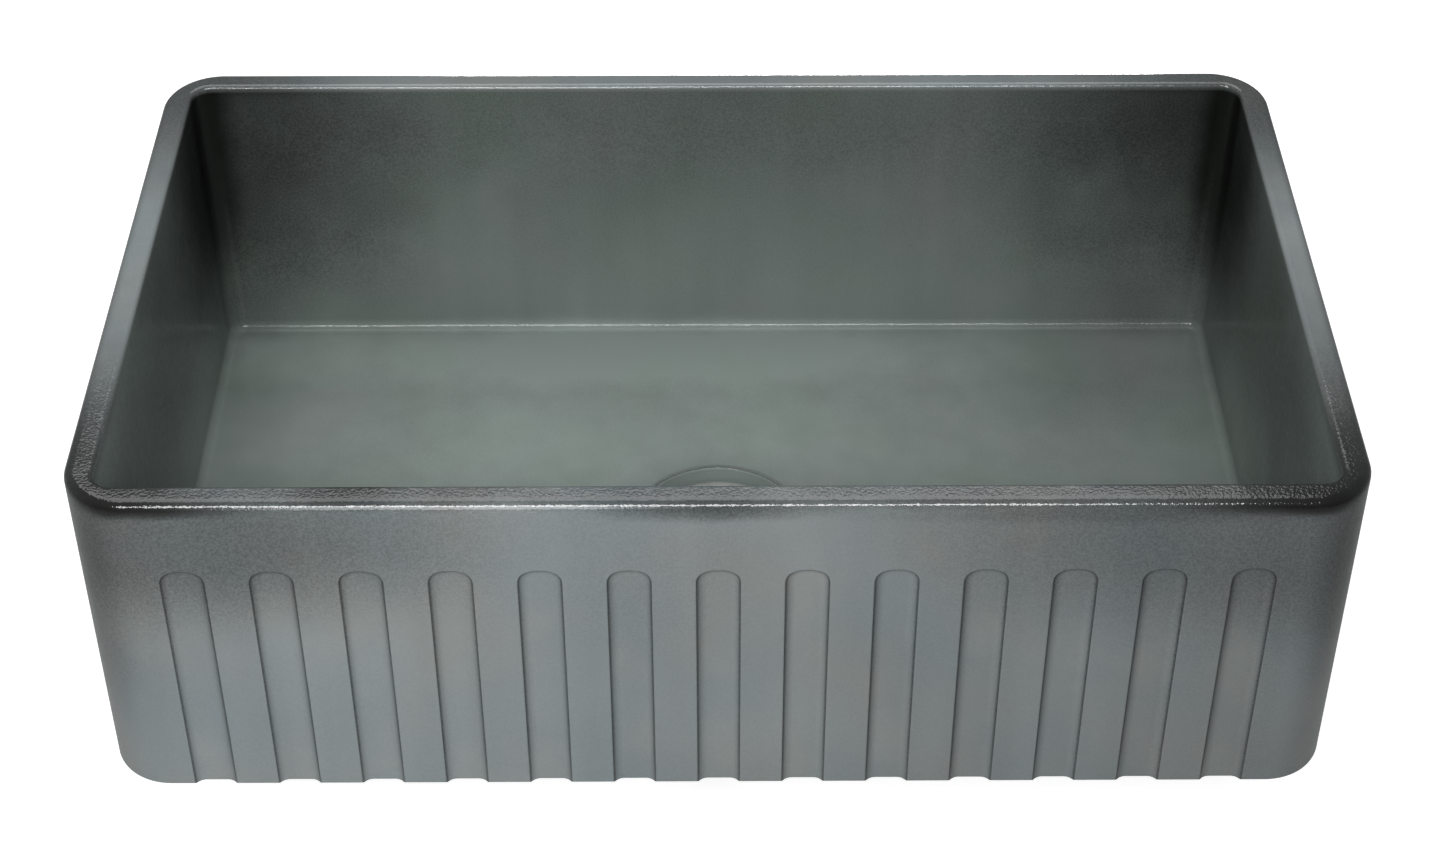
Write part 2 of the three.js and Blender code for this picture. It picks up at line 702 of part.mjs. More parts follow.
addPiece(drain, 'strainer_cup', strainerCup(), steel);
addPiece(drain, 'outlet_nipple', outletNipple(), brass);
addPiece(drain, 'outlet_cross', outletCross(), steel);
addPiece(drain, 'flange_seal', flangeSeal(), putty);
addPiece(drain, 'rubber_gasket', rubberGasket(), rubber);
addPiece(drain, 'friction_washer', frictionWasher(), fibre);
addPiece(drain, 'locknut', locknut(), zinc);
addPiece(drain, 'tailpiece_washer', tailWasher(), polymer);
addPiece(drain, 'tailpiece', tailpiece(), chrome);
addPiece(drain, 'coupling_nut', couplingNut(), chrome);

addPiece(drain, 'basket_cup', basketCup(), steel);
addPiece(drain, 'basket_post', basketPost(), brass);
addPiece(drain, 'basket_knob', basketKnob(), chrome);
addPiece(drain, 'basket_stopper', basketStopper(), rubber);
addPiece(drain, 'stopper_backing_washer', backingWasher(), steel);
addPiece(drain, 'post_nut', postNut(), brass);
addPiece(drain, 'spring_clip', springClip(), steel);

export default sink;
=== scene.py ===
# %% [markdown]
# # An apron front sink in glazed fireclay
#
# This notebook dresses the CAD model of a farmhouse sink. The CAD frame says where every piece is.
# Here each piece gets the soft edges and the surface that the real one has. All sizes are in
# metres, +Z is up, and the fluted apron faces -Y.

# %% Load the frame
import json
import math

import bmesh
import bpy
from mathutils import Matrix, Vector


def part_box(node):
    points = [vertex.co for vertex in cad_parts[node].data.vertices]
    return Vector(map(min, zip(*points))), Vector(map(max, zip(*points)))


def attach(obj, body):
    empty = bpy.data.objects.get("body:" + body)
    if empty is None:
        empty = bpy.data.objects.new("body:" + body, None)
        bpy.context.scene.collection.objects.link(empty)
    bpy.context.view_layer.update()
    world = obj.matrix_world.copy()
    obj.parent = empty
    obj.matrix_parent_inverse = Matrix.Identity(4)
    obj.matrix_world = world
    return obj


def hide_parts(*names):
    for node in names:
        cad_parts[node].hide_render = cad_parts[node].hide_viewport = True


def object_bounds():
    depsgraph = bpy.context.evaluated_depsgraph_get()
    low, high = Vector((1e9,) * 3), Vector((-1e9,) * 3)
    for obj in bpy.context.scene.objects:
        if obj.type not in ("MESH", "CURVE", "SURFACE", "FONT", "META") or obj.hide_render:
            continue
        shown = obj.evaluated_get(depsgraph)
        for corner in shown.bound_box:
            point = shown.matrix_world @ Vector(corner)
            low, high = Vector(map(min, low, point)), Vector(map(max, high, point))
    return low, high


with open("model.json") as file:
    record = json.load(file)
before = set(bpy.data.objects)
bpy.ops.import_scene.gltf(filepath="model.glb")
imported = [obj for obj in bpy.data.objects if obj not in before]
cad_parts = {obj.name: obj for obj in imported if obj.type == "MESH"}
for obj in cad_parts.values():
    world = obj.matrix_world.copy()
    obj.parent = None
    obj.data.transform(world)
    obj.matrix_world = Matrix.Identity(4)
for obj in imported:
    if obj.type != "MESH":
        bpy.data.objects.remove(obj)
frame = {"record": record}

cad_box = [list(corner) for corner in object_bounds()]
MM = 0.001

# %% [markdown]
# ## Working by hand, in code
#
# Every edit below is one that could be done with the mouse: select something, then use a tool on
# it. A tool works on all that is selected, so one object is always chosen first, and nothing in it
# is selected when its editing starts. A new object's place and size are put into its mesh, so that
# every finished piece sits at the origin, as the frame's own pieces do.

# %% One object at a time
def select_only(piece):
    """Makes one object the only selected one, and the active one."""
    bpy.ops.object.select_all(action="DESELECT")
    piece.select_set(True)
    bpy.context.view_layer.objects.active = piece


def start_edit(piece):
    """Enters edit mode with nothing selected."""
    select_only(piece)
    bpy.ops.object.mode_set(mode="EDIT")
    bpy.ops.mesh.select_mode(type="VERT")
    bpy.ops.mesh.select_all(action="DESELECT")


def end_edit():
    """Leaves edit mode, which writes the edits into the mesh."""
    bpy.ops.object.mode_set(mode="OBJECT")


def name_piece(name):
    """Names the object that was just added, and puts its place into its mesh."""
    piece = bpy.context.object
    piece.name = piece.data.name = name
    select_only(piece)
    bpy.ops.object.transform_apply(location=True, rotation=True, scale=True)
    return piece


# %% [markdown]
# Faces and edges could be clicked one by one. Here they are picked by where they are, so the steps
# keep working when a size changes. An open edge has a face on one side only, as the edge of a hole
# has. Two loops of open edges are what the bridge tool joins.

# %% Faces and edges, picked by their place
SLACK = 0.02 * MM


def near(value, target, slack=SLACK):
    """True when two lengths agree but for rounding."""
    return abs(value - target) < slack


def choose(piece, kind, wanted):
    """Selects the vertices, edges or faces that pass a test, and says how many they are."""
    bpy.ops.mesh.select_mode(type=kind)
    bpy.ops.mesh.select_all(action="DESELECT")
    mesh = bmesh.from_edit_mesh(piece.data)
    items = {"VERT": mesh.verts, "EDGE": mesh.edges, "FACE": mesh.faces}[kind]
    found = [item for item in items if wanted(item)]
    for item in found:
        item.select_set(True)
    bmesh.update_edit_mesh(piece.data)
    return len(found)


def pick(piece, kind, wanted):
    """Selects the edges or faces whose vertices' places all pass a test."""
    return choose(piece, kind, lambda item: all(wanted(vert.co) for vert in item.verts))


def pick_open_edges(piece, tests):
    """Selects the open edges whose ends both pass one of the tests."""
    return choose(piece, "EDGE", lambda edge: len(edge.link_faces) < 2 and any(
        all(test(vert.co) for vert in edge.verts) for test in tests
    ))


print("places agree within", SLACK / MM, "mm")

# %% [markdown]
# ## Camera
#
# The photograph was taken from in front and well above, with a long lens. A pinhole camera was
# fitted to the sink's outline, rim and floor edges. Its place, tilt and focal length are what that
# fit gave, so the render lies over the photograph.

# %% Camera at the photograph's viewpoint
CAMERA_PLACE = (-0.0037, -1.5316, 1.3923)
CAMERA_TILT_DOWN = 40.06
CAMERA_TURN_RIGHT = 0.281
FOCAL_LENGTH = 67.86
SENSOR_WIDTH = 36

bpy.ops.object.camera_add(location=CAMERA_PLACE)
camera = bpy.context.object
camera.name = "camera"
camera.rotation_euler = (math.radians(90 - CAMERA_TILT_DOWN), 0, math.radians(-CAMERA_TURN_RIGHT))
camera.data.lens = FOCAL_LENGTH
camera.data.sensor_width = SENSOR_WIDTH
bpy.context.scene.camera = camera
print("camera at", CAMERA_PLACE)

# %% [markdown]
# ## Basin
#
# The real basin is one fireclay casting: slip is poured into plaster moulds, and the piece is
# sprayed with glaze and fired. So its walls lean a little to leave the mould, and no edge on it is
# sharp. Its outline could be drawn as a curve and extruded. A box is simpler: four of its edges are
# bevelled, and its corners are round in plan.

# %% Basin sizes
low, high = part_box("basin")
LENGTH = high.x - low.x
DEPTH = high.y - low.y
HEIGHT = high.z - low.z
FRONT = low.y
CORNER_RADIUS = 43 * MM
BOWL_CORNER_RADIUS = 14 * MM
CORNER_SEGMENTS = 18
RIM_WIDTH = 20 * MM
MOUTH_LIFT = 10 * MM
WALL_DRAFT = 3.3 * MM
FLOOR_Z = 25.6 * MM
print(f"basin {LENGTH:.3f} x {DEPTH:.3f} x {HEIGHT:.3f} m")

# %% Block with round corners
bpy.ops.mesh.primitive_cube_add(size=1, location=(0, 0, HEIGHT / 2), scale=(LENGTH, DEPTH, HEIGHT))
basin = name_piece("fireclay_basin")
start_edit(basin)
count = choose(basin, "EDGE", lambda edge: abs(edge.verts[0].co.z - edge.verts[1].co.z) > HEIGHT / 2)
bpy.ops.mesh.bevel(offset=CORNER_RADIUS, segments=CORNER_SEGMENTS, affect="EDGES")
print("upright edges rounded:", count)

# %% [markdown]
# The bowl could be an inset of the top face, but its corners are much tighter than the outside
# ones, and an inset would keep those. So the mouth is a rectangle of its own with tighter corners.
# It is bridged to the block a little above it, where the tool can tell the two loops' directions,
# and is then let down to make the flat rim. The bowl is an extrusion of the mouth with a little
# taper, so that the casting leaves its mould.

# %% Rim and bowl
def at_rim(co):
    """True for a point at the rim's height."""
    return near(co.z, HEIGHT)


def at_mouth(co):
    """True for a point at the height where the mouth is drawn."""
    return near(co.z, HEIGHT + MOUTH_LIFT)


pick(basin, "FACE", at_rim)
bpy.ops.mesh.delete(type="ONLY_FACE")
bpy.ops.mesh.select_mode(type="VERT")
bpy.ops.mesh.primitive_plane_add(size=1, location=(0, 0, HEIGHT + MOUTH_LIFT))
mouth_length = LENGTH - 2 * RIM_WIDTH
mouth_depth = DEPTH - 2 * RIM_WIDTH
bpy.ops.transform.resize(value=(mouth_length, mouth_depth, 1), center_override=(0, 0, HEIGHT))
bpy.ops.mesh.bevel(offset=BOWL_CORNER_RADIUS, segments=CORNER_SEGMENTS, affect="VERTICES")
pick(basin, "FACE", at_mouth)
bpy.ops.mesh.delete(type="ONLY_FACE")
pick_open_edges(basin, [at_rim, at_mouth])
bpy.ops.mesh.bridge_edge_loops()
pick_open_edges(basin, [at_mouth])
bpy.ops.transform.translate(value=(0, 0, -MOUTH_LIFT))
bpy.ops.mesh.extrude_region_move(TRANSFORM_OT_translate={"value": (0, 0, FLOOR_Z - HEIGHT)})
taper_x = 1 - WALL_DRAFT / (LENGTH / 2 - RIM_WIDTH)
taper_y = 1 - WALL_DRAFT / (DEPTH / 2 - RIM_WIDTH)
bpy.ops.transform.resize(value=(taper_x, taper_y, 1), center_override=(0, 0, FLOOR_Z))
bpy.ops.mesh.edge_face_add()
bpy.ops.mesh.select_all(action="SELECT")
bpy.ops.mesh.normals_make_consistent(inside=False)
print("basin block with its bowl:", len(bmesh.from_edit_mesh(basin.data).verts), "vertices")

# %% [markdown]
# Glaze draws back from a sharp edge, so each edge of the casting has its own round. A bevel
# modifier would give all of them one radius. Here every edge loop is picked by its height, and by
# how far in from the outline it lies, and is bevelled by itself.

# %% Round each edge by its own radius
RIM_OUTER_ROUND = 6.8 * MM
RIM_INNER_ROUND = 3.5 * MM
FLOOR_FILLET = 8 * MM
BASE_ROUND = 2 * MM


def inset_of(co):
    """How far a point lies inside the basin's outline, seen from above."""
    across = abs(co.x) - (LENGTH / 2 - CORNER_RADIUS)
    along = abs(co.y) - (DEPTH / 2 - CORNER_RADIUS)
    if across > 0 and along > 0:
        return CORNER_RADIUS - math.hypot(across, along)
    return CORNER_RADIUS - max(across, along)


EDGE_ROUNDS = [
    ("outer rim edge", RIM_OUTER_ROUND, 7, lambda co: at_rim(co) and inset_of(co) < RIM_WIDTH / 2),
    ("inner rim edge", RIM_INNER_ROUND, 6, lambda co: at_rim(co) and inset_of(co) > RIM_WIDTH / 2),
    ("floor edge", FLOOR_FILLET, 7, lambda co: near(co.z, FLOOR_Z)),
    ("base edge", BASE_ROUND, 3, lambda co: near(co.z, 0)),
]
for label, radius, segments, test in EDGE_ROUNDS:
    count = pick(basin, "EDGE", test)
    bpy.ops.mesh.bevel(offset=radius, segments=segments, affect="EDGES")
    print(label, "rounded:", count, "edges")

# %% [markdown]
# ## Drain opening
#
# The floor falls a little to a round recess that takes the strainer's flange, with a hole through
# the clay. A boolean could cut them, but it would leave long thin faces on the floor. So the flat
# floor is taken out and a circle is put in its place, lower by the fall. Bridging the two loops
# gives the sloping floor. The circle is then extruded down through the clay, ring by ring. Below,
# the hole opens into a shallow ring that is ground flat for the gasket.

# %% Sizes of the drain opening
FLOOR_FALL = 2 * MM
DRAIN_Y = -8 * MM
DRAIN_SIDES = 96
DRAIN_SLACK = 0.2 * MM
RECESS_TOP = FLOOR_Z - FLOOR_FALL
RECESS_RADIUS = 61.5 * MM
RECESS_FOOT = 58.5 * MM
RECESS_LIP = 2 * MM
RECESS_CHAMFER_WIDTH = 1.2 * MM
RECESS_CHAMFER_HEIGHT = 2.6 * MM
SEAT_Z = 10 * MM
HOLE_RADIUS = 45 * MM
HOLE_ROUND = 0.8 * MM
GASKET_SEAT_RADIUS = 57 * MM
GASKET_SEAT_DEPTH = 0.5 * MM
print(f"drain recess {2000 * RECESS_RADIUS:.0f} mm across, hole {2000 * HOLE_RADIUS:.0f} mm")

# %% Rings about the drain's axis
def around_drain(co, radius):
    """True for a point at this distance from the drain's axis."""
    return near(math.hypot(co.x, co.y - DRAIN_Y), radius, DRAIN_SLACK)


def extrude_rings(corners):
    """Extrudes the selected ring about the drain's axis through (radius, z) corners."""
    for (radius, z), (next_radius, next_z) in zip(corners, corners[1:]):
        bpy.ops.mesh.extrude_region_move(TRANSFORM_OT_translate={"value": (0, 0, next_z - z)})
        scale = next_radius / radius
        bpy.ops.transform.resize(value=(scale, scale, 1), center_override=(0, DRAIN_Y, next_z))


for level in (FLOOR_Z, 0):
    count = pick(basin, "FACE", lambda co: near(co.z, level))
    bpy.ops.mesh.delete(type="ONLY_FACE")
    print(f"flat faces taken out at z {level * 1000:.1f} mm: {count}")

# %% Sloping floor, recess and hole
bpy.ops.mesh.select_all(action="DESELECT")
bpy.ops.mesh.primitive_circle_add(
    vertices=DRAIN_SIDES, radius=RECESS_RADIUS, location=(0, DRAIN_Y, RECESS_TOP)
)
pick_open_edges(basin, [
    lambda co: near(co.z, FLOOR_Z),
    lambda co: near(co.z, RECESS_TOP) and around_drain(co, RECESS_RADIUS),
])
bpy.ops.mesh.bridge_edge_loops()
pick_open_edges(basin, [lambda co: around_drain(co, RECESS_RADIUS)])
extrude_rings([
    (RECESS_RADIUS, RECESS_TOP),
    (RECESS_FOOT + RECESS_CHAMFER_WIDTH, SEAT_Z + RECESS_CHAMFER_HEIGHT),
    (RECESS_FOOT, SEAT_Z),
    (HOLE_RADIUS, SEAT_Z),
    (HOLE_RADIUS, GASKET_SEAT_DEPTH),
    (GASKET_SEAT_RADIUS, GASKET_SEAT_DEPTH),
    (GASKET_SEAT_RADIUS, 0),
])
pick_open_edges(basin, [
    lambda co: near(co.z, 0) and around_drain(co, GASKET_SEAT_RADIUS),
    lambda co: near(co.z, 0) and inset_of(co) < RIM_WIDTH,
])
bpy.ops.mesh.bridge_edge_loops()
print("basin with its drain opening:", len(bmesh.from_edit_mesh(basin.data).verts), "vertices")

# %% Round the edges of the opening
for radius, z, size, segments in [
    (RECESS_RADIUS, RECESS_TOP, RECESS_LIP, 6),
    (HOLE_RADIUS, SEAT_Z, HOLE_ROUND, 2),
    (HOLE_RADIUS, GASKET_SEAT_DEPTH, HOLE_ROUND, 2),
]:
    count = pick(basin, "EDGE", lambda co: near(co.z, z) and around_drain(co, radius))
    bpy.ops.mesh.bevel(offset=size, segments=segments, affect="EDGES")
    print(f"drain edge at z {z * 1000:.1f} mm rounded: {count} edges")
bpy.ops.mesh.select_all(action="SELECT")
bpy.ops.mesh.normals_make_consistent(inside=False)
end_edit()

# %% [markdown]
# ## Flutes
#
# The flutes are in the mould, so each one is a shallow hollow. Its wall leaves the apron over a
# small round, drops steeply and runs out into the flute's floor in a wider curve, where the slip
# and the glaze gather. Thirteen of them could be drawn into the apron's face, but one cutter is
# enough: an array makes the row, and a boolean takes it out of the apron.

# %% Flute sizes
FLUTE_COUNT = 13
FLUTE_PITCH = 57.6 * MM
FLUTE_HALF_WIDTH = 15.4 * MM
FLUTE_DEPTH = 4.6 * MM
FLUTE_TOP_Z = 200 * MM
FLUTE_SPRING_Z = 187 * MM
FLUTE_EDGE_ROUND = 1.4 * MM
FLUTE_FOOT_ROUND = 8 * MM
FLUTE_WALL_ANGLE = math.radians(55)
FLUTE_ARC_STEPS = 5
FLUTE_OVERCUT = 3 * MM
FLUTE_FOOT_OVERCUT = 8 * MM
print(f"flute row: {(FLUTE_COUNT - 1) * FLUTE_PITCH + 2 * FLUTE_HALF_WIDTH:.3f} m long")

# %% Section of a flute's wall
def flute_section():
    """(inset, depth) corners of the wall: a convex round, a straight slope and a concave round."""
    angles = [FLUTE_WALL_ANGLE * step / FLUTE_ARC_STEPS for step in range(FLUTE_ARC_STEPS + 1)]
    sunk = (FLUTE_EDGE_ROUND + FLUTE_FOOT_ROUND) * (1 - math.cos(FLUTE_WALL_ANGLE))
    slope = (FLUTE_DEPTH - sunk) / math.sin(FLUTE_WALL_ANGLE)
    rounds = (FLUTE_EDGE_ROUND + FLUTE_FOOT_ROUND) * math.sin(FLUTE_WALL_ANGLE)
    width = rounds + slope * math.cos(FLUTE_WALL_ANGLE)
    corners = []
    for angle in angles:
        corners.append((FLUTE_EDGE_ROUND * math.sin(angle), FLUTE_EDGE_ROUND * (1 - math.cos(angle))))
    for angle in reversed(angles):
        inset = width - FLUTE_FOOT_ROUND * math.sin(angle)
        corners.append((inset, FLUTE_DEPTH - FLUTE_FOOT_ROUND * (1 - math.cos(angle))))
    return corners


section = flute_section()
print(f"flute wall: {section[-1][0] * 1000:.2f} mm wide, {section[-1][1] * 1000:.2f} mm deep")

# %% [markdown]
# The cutter starts as a bar. Bevelling its two top edges makes a flattened arch, and it is then
# stretched to the flute's width. Its inner face is inset again and again, and each inset is sunk to
# the depth that the wall's section gives.

# %% One flute cutter
FLUTE_TOP_PROFILE = 0.56
FLUTE_TOP_SEGMENTS = 14
FLUTE_TOP_SHARE = 0.999  # the two bevels stop just short of each other
FLUTE_MERGE = 0.2 * MM

flute_rise = FLUTE_TOP_Z - FLUTE_SPRING_Z
flute_bottom = -FLUTE_FOOT_OVERCUT
cutter_x = -(FLUTE_COUNT - 1) / 2 * FLUTE_PITCH


def along_top(edge):
    """True for a top edge of the bar that runs into the apron."""
    one, other = [vert.co for vert in edge.verts]
    return near(one.z, FLUTE_TOP_Z) and near(other.z, FLUTE_TOP_Z) and near(one.x, other.x)


bpy.ops.mesh.primitive_cube_add(
    size=1,
    location=(cutter_x, FRONT - FLUTE_OVERCUT / 2, (FLUTE_TOP_Z + flute_bottom) / 2),
    scale=(2 * flute_rise, FLUTE_OVERCUT, FLUTE_TOP_Z - flute_bottom),
)
cutter = name_piece("flute_cutter")
start_edit(cutter)
choose(cutter, "EDGE", along_top)
bpy.ops.mesh.bevel(
    offset=flute_rise * FLUTE_TOP_SHARE, segments=FLUTE_TOP_SEGMENTS, profile=FLUTE_TOP_PROFILE,
    affect="EDGES",
)
bpy.ops.mesh.select_all(action="SELECT")
widen = FLUTE_HALF_WIDTH / flute_rise
bpy.ops.transform.resize(value=(widen, 1, 1), center_override=(cutter_x, FRONT, 0))
bpy.ops.mesh.remove_doubles(threshold=FLUTE_MERGE)
pick(cutter, "FACE", lambda co: near(co.y, FRONT))
for (inset, depth), (next_inset, next_depth) in zip(section, section[1:]):
    bpy.ops.mesh.inset(thickness=next_inset - inset, depth=next_depth - depth, use_even_offset=True)
end_edit()
print("flute cutter:", len(cutter.data.polygons), "faces")

# %% Row of flutes, taken out of the apron
def apply_modifier(piece, kind, **settings):
    """Adds a modifier, sets it up and applies it at once."""
    select_only(piece)
    modifier = piece.modifiers.new(kind.title(), kind)
    for name, value in settings.items():
        setattr(modifier, name, value)
    bpy.ops.object.modifier_apply(modifier=modifier.name)


def combine(piece, other, operation):
    """Joins another object to a piece, or cuts it away, and removes the other."""
    apply_modifier(piece, "BOOLEAN", operation=operation, object=other, solver="MANIFOLD")
    bpy.data.objects.remove(other)


apply_modifier(
    cutter, "ARRAY", count=FLUTE_COUNT, use_relative_offset=False, use_constant_offset=True,
    constant_offset_displace=(FLUTE_PITCH, 0, 0),
)
combine(basin, cutter, "DIFFERENCE")
print("flutes cut:", FLUTE_COUNT, "basin faces:", len(basin.data.polygons))

# %% [markdown]
# ## Dressing the frame's pieces
#
# The frame's record says which body each piece rides on and which finish it has. A finished piece
# takes both from the one that it stands in for, and hides it. Its rounds are narrow faces between
# large ones. Plain smooth shading would bend the light across the large faces too, so their
# normals get more weight, and they stay flat.

# %% Shade a piece and put it in its node's place
SMOOTH_ANGLE = 35

bodies = frame["record"]["behaviour"]["bodies"]
body_of = {node: body for body, nodes in bodies.items() for node in nodes}
slot_of = {part["node"]: part["material_slot"] for part in frame["record"]["subparts"]}
dressed = {}


def soften(piece):
    """Smooth shading that keeps sharp corners, with large flat faces kept flat."""
    select_only(piece)
    bpy.ops.object.shade_smooth_by_angle(angle=math.radians(SMOOTH_ANGLE))
    apply_modifier(piece, "WEIGHTED_NORMAL", mode="FACE_AREA", keep_sharp=True)


def finish_piece(piece, node):
    """Shades a piece, makes it ride where its CAD node rides, and hides that node."""
    soften(piece)
    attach(piece, body_of[node])
    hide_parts(node)
    dressed[node] = piece
    print(f"{piece.name}: {len(piece.data.polygons)} faces, rides on {body_of[node]}")


finish_piece(basin, "basin")

# %% [markdown]
# ## Strainer waste
#
# Everything in the drain is made round one upright axis: steel cups are drawn and spun, brass and
# zinc parts are cast and turned, and seals are moulded rings. Each could be a lathed outline. Here
# each one starts as a ring of points that is extruded through the corners of its section, as a
# lathe tool would follow them, and its sharp corners are then bevelled.

# %% Corners of a round, and of a thread
THREAD_PITCH = 1.8 * MM
THREAD_DEPTH = 0.6 * MM


def arc(radius, z, size, start, end, steps=5):
    """Corners of a round in a section, about (radius, z), from one angle to another in degrees."""
    angles = [math.radians(start + (end - start) * step / steps) for step in range(steps + 1)]
    return [(radius + size * math.cos(angle), z + size * math.sin(angle)) for angle in angles]


def threads(radius, top, foot):
    """Section corners of a rolled thread, drawn as plain ridges from its top down to its foot."""
    corners = []
    for turn in range(round((top - foot) / THREAD_PITCH)):
        z = top - turn * THREAD_PITCH
        corners += [(radius, z), (radius - THREAD_DEPTH, z - THREAD_PITCH / 2)]
    return corners + [(radius, foot)]


print("corners in a quarter round:", len(arc(0, 0, MM, 0, 90)))

# %% A ring turned through a section
BREAK_ANGLE = 30
FILED_EDGE = 0.3 * MM


def bevel_edges(piece, width):
    """Breaks every corner sharper than the break angle."""
    apply_modifier(
        piece, "BEVEL", width=width, segments=2, limit_method="ANGLE",
        angle_limit=math.radians(BREAK_ANGLE),
    )


def turned(name, section, solid=False, break_edges=0, sides=DRAIN_SIDES):
    """Extrudes a ring through (radius, z) corners. A solid is capped, a hollow ring meets itself."""
    radius, z = section[0]
    bpy.ops.object.select_all(action="DESELECT")
    bpy.ops.mesh.primitive_circle_add(vertices=sides, radius=radius, location=(0, DRAIN_Y, z))
    piece = name_piece(name)
    start_edit(piece)
    bpy.ops.mesh.select_all(action="SELECT")
    extrude_rings(section)
    bpy.ops.mesh.select_all(action="DESELECT")
    bpy.ops.mesh.select_non_manifold(extend=False)
    if solid:
        bpy.ops.mesh.fill_holes(sides=0)
    else:
        bpy.ops.mesh.bridge_edge_loops()
    bpy.ops.mesh.select_all(action="SELECT")
    bpy.ops.mesh.normals_make_consistent(inside=False)
    end_edit()
    if break_edges:
        bevel_edges(piece, break_edges)
    return piece


def square_ring(name, inner, outer, low_z, high_z, break_edges=0):
    """A plain ring with a rectangular section."""
    section = [(inner, low_z), (outer, low_z), (outer, high_z), (inner, high_z)]
    return turned(name, section, break_edges=break_edges)


print("sides of a turned piece:", DRAIN_SIDES)

# %% [markdown]
# ## Strainer cup
#
# The cup is drawn from one steel sheet. Its rolled flange lies in the recess and is the part that
# the eye sees, so it has a real roll and a crown. Its neck is threaded for the locknut. A true
# helix would need many faces that no one sees, so the thread is a stack of plain ridges.

# %% Sizes of the cup
low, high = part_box("strainer_cup")
FLANGE_RADIUS = (high.x - low.x) / 2
FLANGE_TOP = high.z
FLANGE_THICKNESS = 2 * MM
FLANGE_CROWN = 0.4 * MM
FLANGE_LIP_ROUND = 3 * MM
NECK_RADIUS = 42 * MM
NECK_THREAD_TOP = -5 * MM
NECK_THREAD_FOOT = -27.5 * MM
SHEET = 1.2 * MM
CUP_INNER = NECK_RADIUS - SHEET
CUP_CORNER = 7 * MM
CUP_FLOOR = low.z + SHEET
NIPPLE_RADIUS = 23.6 * MM
FIT_GAP = 0.3 * MM
print(f"cup: flange {2000 * FLANGE_RADIUS:.0f} mm, neck {2000 * NECK_RADIUS:.0f} mm across")

# %% Drawn steel cup
roll = FLANGE_THICKNESS / 2
edge_top = FLANGE_TOP - FLANGE_CROWN
corner_radius = CUP_INNER - CUP_CORNER
corner_z = CUP_FLOOR + CUP_CORNER
section = arc(corner_radius, corner_z, CUP_CORNER + SHEET, -90, 0)
section += threads(NECK_RADIUS, NECK_THREAD_TOP, NECK_THREAD_FOOT)[::-1]
section += [(NECK_RADIUS, FLANGE_TOP - FLANGE_THICKNESS)]
section += arc(FLANGE_RADIUS - roll, FLANGE_TOP - roll, roll, -90, 60)
section += [(FLANGE_RADIUS - FLANGE_LIP_ROUND, FLANGE_TOP), (CUP_INNER + 2 * FLANGE_LIP_ROUND, FLANGE_TOP)]
section += arc(CUP_INNER + FLANGE_LIP_ROUND, edge_top - FLANGE_LIP_ROUND, FLANGE_LIP_ROUND, 90, 180)
section += arc(corner_radius, corner_z, CUP_CORNER, 0, -90)
section += [(NIPPLE_RADIUS + FIT_GAP, CUP_FLOOR), (NIPPLE_RADIUS + FIT_GAP, CUP_FLOOR - SHEET)]
strainer_cup = turned("drawn_strainer_cup", section)
finish_piece(strainer_cup, "strainer_cup")

# %% [markdown]
# ## Outlet and cross
#
# A brass outlet is let into the cup's floor. Its flange is the seat for the basket's stopper, and
# its thread takes the nut below. A stamped cross sits in its mouth, and the hub of that holds the
# basket's post. The cross could be one flat outline, but a ring, one bar copied round and a hub are
# easier to size, and joining them leaves one clean piece.

# %% Turned brass outlet
low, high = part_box("outlet_nipple")
NIPPLE_BORE = 21 * MM
NIPPLE_FLANGE = (high.x - low.x) / 2
NIPPLE_FLANGE_UNDER = CUP_FLOOR + FIT_GAP
NIPPLE_THREAD_TOP = -45 * MM
NIPPLE_MOUTH = 1 * MM
section = [(NIPPLE_BORE, low.z)]
section += threads(NIPPLE_RADIUS, NIPPLE_THREAD_TOP, low.z)[::-1]
section += [
    (NIPPLE_RADIUS, NIPPLE_FLANGE_UNDER), (NIPPLE_FLANGE, NIPPLE_FLANGE_UNDER),
    (NIPPLE_FLANGE, high.z - NIPPLE_MOUTH / 2), (NIPPLE_FLANGE - NIPPLE_MOUTH / 2, high.z),
    (NIPPLE_BORE + NIPPLE_MOUTH, high.z), (NIPPLE_BORE, high.z - NIPPLE_MOUTH),
]
outlet = turned("turned_brass_outlet", section)
finish_piece(outlet, "outlet_nipple")

# %% Stamped cross
low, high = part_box("outlet_cross")
CROSS_RADIUS = (high.x - low.x) / 2
CROSS_RIM = 1.5 * MM
CROSS_BAR = 4 * MM
CROSS_BARS = 4
HUB_RADIUS = 8 * MM
HUB_BORE = 5 * MM


def copies_round(piece, count):
    """Copies a whole mesh in equal turns round the drain's axis."""
    start_edit(piece)
    bpy.ops.mesh.select_all(action="SELECT")
    bpy.ops.mesh.spin(
        steps=count - 1, dupli=True, angle=2 * math.pi * (count - 1) / count,
        center=(0, DRAIN_Y, 0), axis=(0, 0, 1),
    )
    end_edit()


cross = square_ring("stamped_cross", CROSS_RADIUS - CROSS_RIM, CROSS_RADIUS, low.z, high.z)
bar_start = (HUB_RADIUS + HUB_BORE) / 2
bar_end = CROSS_RADIUS - CROSS_RIM / 2
bpy.ops.object.select_all(action="DESELECT")
bpy.ops.mesh.primitive_cube_add(
    size=1, scale=(bar_end - bar_start, CROSS_BAR, high.z - low.z),
    location=((bar_start + bar_end) / 2, DRAIN_Y, (low.z + high.z) / 2),
)
bars = name_piece("cross_bars")
copies_round(bars, CROSS_BARS)
combine(cross, bars, "UNION")
combine(cross, square_ring("cross_hub", HUB_BORE, HUB_RADIUS, low.z, high.z), "UNION")
bevel_edges(cross, FILED_EDGE)
finish_piece(cross, "outlet_cross")

